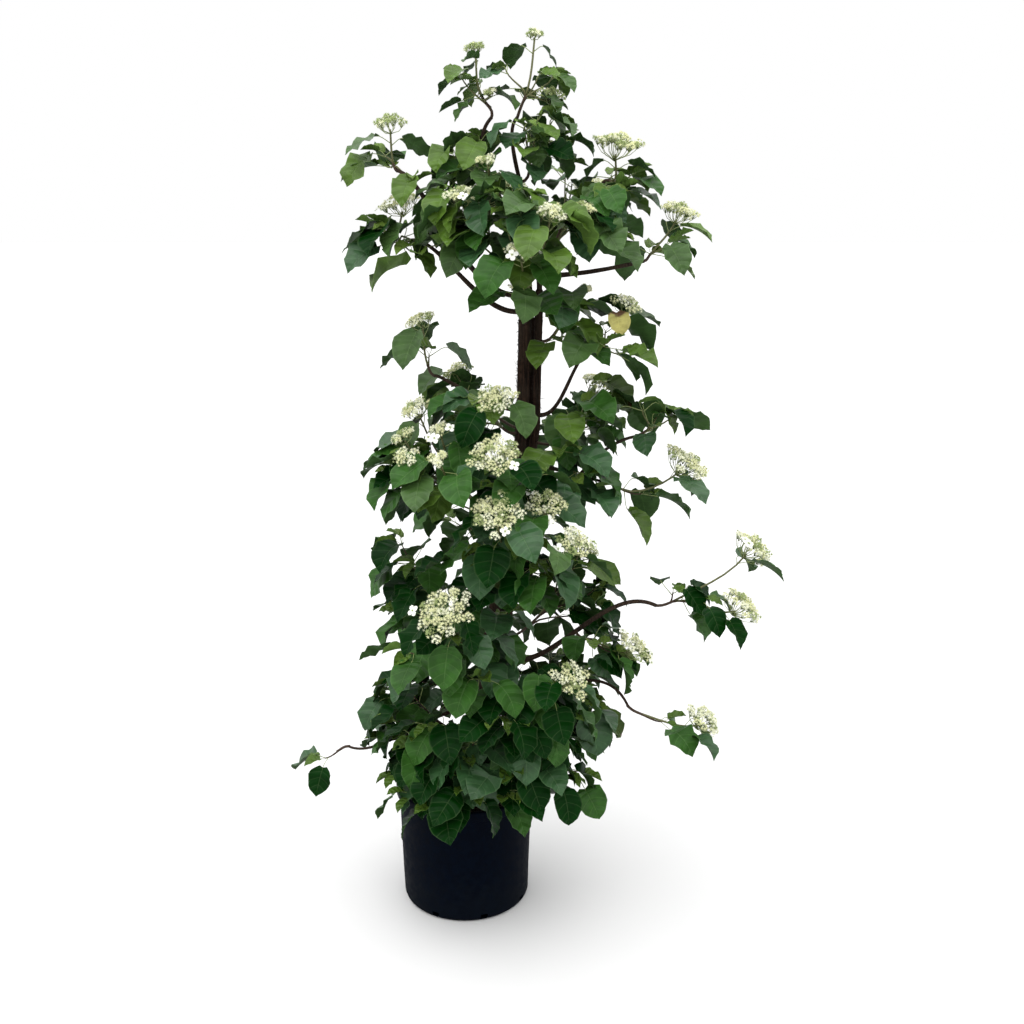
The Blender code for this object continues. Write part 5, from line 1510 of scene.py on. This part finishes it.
def build_head(head, draws, into):
    width = head.width
    count = max(5, round((width / CLUSTER_PITCH) ** 2 * 0.95))
    spread = 0.52 * width / math.sqrt(count)
    phase = draws.uniform(0, math.tau)
    green = clamp((head.foot.z - GREEN_ABOVE) / 0.10)
    for i in range(count):
        share = math.sqrt((i + 0.5) / count)
        turn = phase + GOLDEN_TURN * i
        lobe = head.lobes[int(turn / math.tau * HEAD_LOBES) % HEAD_LOBES]
        rise = width * (HEAD_RIM - 0.02 + 0.17 * (1 - share**2)) + draws.gauss(0, 0.03) * width
        top = head.foot + head.beside(turn, share * (width / 2 - spread * 0.55) * lobe) + head.axis * rise
        build_cluster(head, top, turn, spread, green, draws, into)
    for _ in range(draws.choice(SHOWY_COUNTS) if width > SHOWY_FROM else 0):
        out = head.beside(draws.uniform(0, math.tau))
        spot = head.foot + out * width * draws.uniform(0.46, 0.53) + head.axis * width * (HEAD_RIM + 0.08)
        start = head.foot + head.axis * width * 0.08
        bends = (start, start + out * width * 0.1, spot - head.axis * width * 0.2, spot)
        rays.lay(ray_tube, cubic(*bends, 3), SHOWY_RAY_RADII)
        face_to = (out * 0.5 + head.axis + Vector((0, -0.3, 0))).normalized()
        add_flower(into, showy_shape, face_to, draws, draws.uniform(*SHOWY_SIZE), spot, WHITE)
        add_flower(into, floret_shape, face_to, draws, SHOWY_EYE, spot, GREENISH)
        counts["showy"] += 1


for head in all_heads:
    part = "upper_blossom" if head.foot.z > UPPER_FROM else "lower_blossom"
    build_head(head, heading_draws, blossoms[part])
print(counts, "ray triangles:", rays.triangles)

# %% Make the flower materials
FLOWER_LOOKS = {"cream": ((0.82, 0.83, 0.53), 0.85), "ivory": ((0.89, 0.90, 0.71), 0.90),
                "greenish": ((0.42, 0.50, 0.22), 0.75), "white_sepal": ((0.86, 0.87, 0.80), 0.92)}
flower_paints = [patterned(name, colour, 0.75, 0.2, mottle, 140.0, tinted(colour, shade), colour)[0]
                 for name, (colour, shade) in FLOWER_LOOKS.items()]  # colour, and how far it darkens
blossom_pieces = [part.make(part_name, flower_paints, smooth=False) for part_name, part in blossoms.items()]
ray_paint, _, _ = patterned("flower_ray", (0.26, 0.31, 0.12), 0.6, 0.3, mottle, 60.0,
                            (0.16, 0.21, 0.08), (0.32, 0.37, 0.16))
ray_piece = rays.make("flower_rays", [ray_paint])

# %% [markdown]
# ## Hand over to the frame
#
# Every piece rides on the one body of the CAD model and stands for the solids that it dresses.

# %% Ride, replace and finish
foliage_nodes = ["foliage_" + name for name in MASSES]
for piece, nodes, slot_name in (
        (pot, ["pot"], "pot_plastic"), (mix, ["potting_mix"], "potting_mix"),
        (bark_chips, ["potting_mix"], "potting_mix"), (wood, list(limbs), "bark"),
        *((piece, foliage_nodes, "foliage") for piece in (twigs, ray_piece, *leaf_pieces, *blossom_pieces))):
    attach(piece, "root")
    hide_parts(*nodes)
for leftover in ("blade_top", "blade_under"):
    bpy.data.materials.remove(bpy.data.materials[leftover])
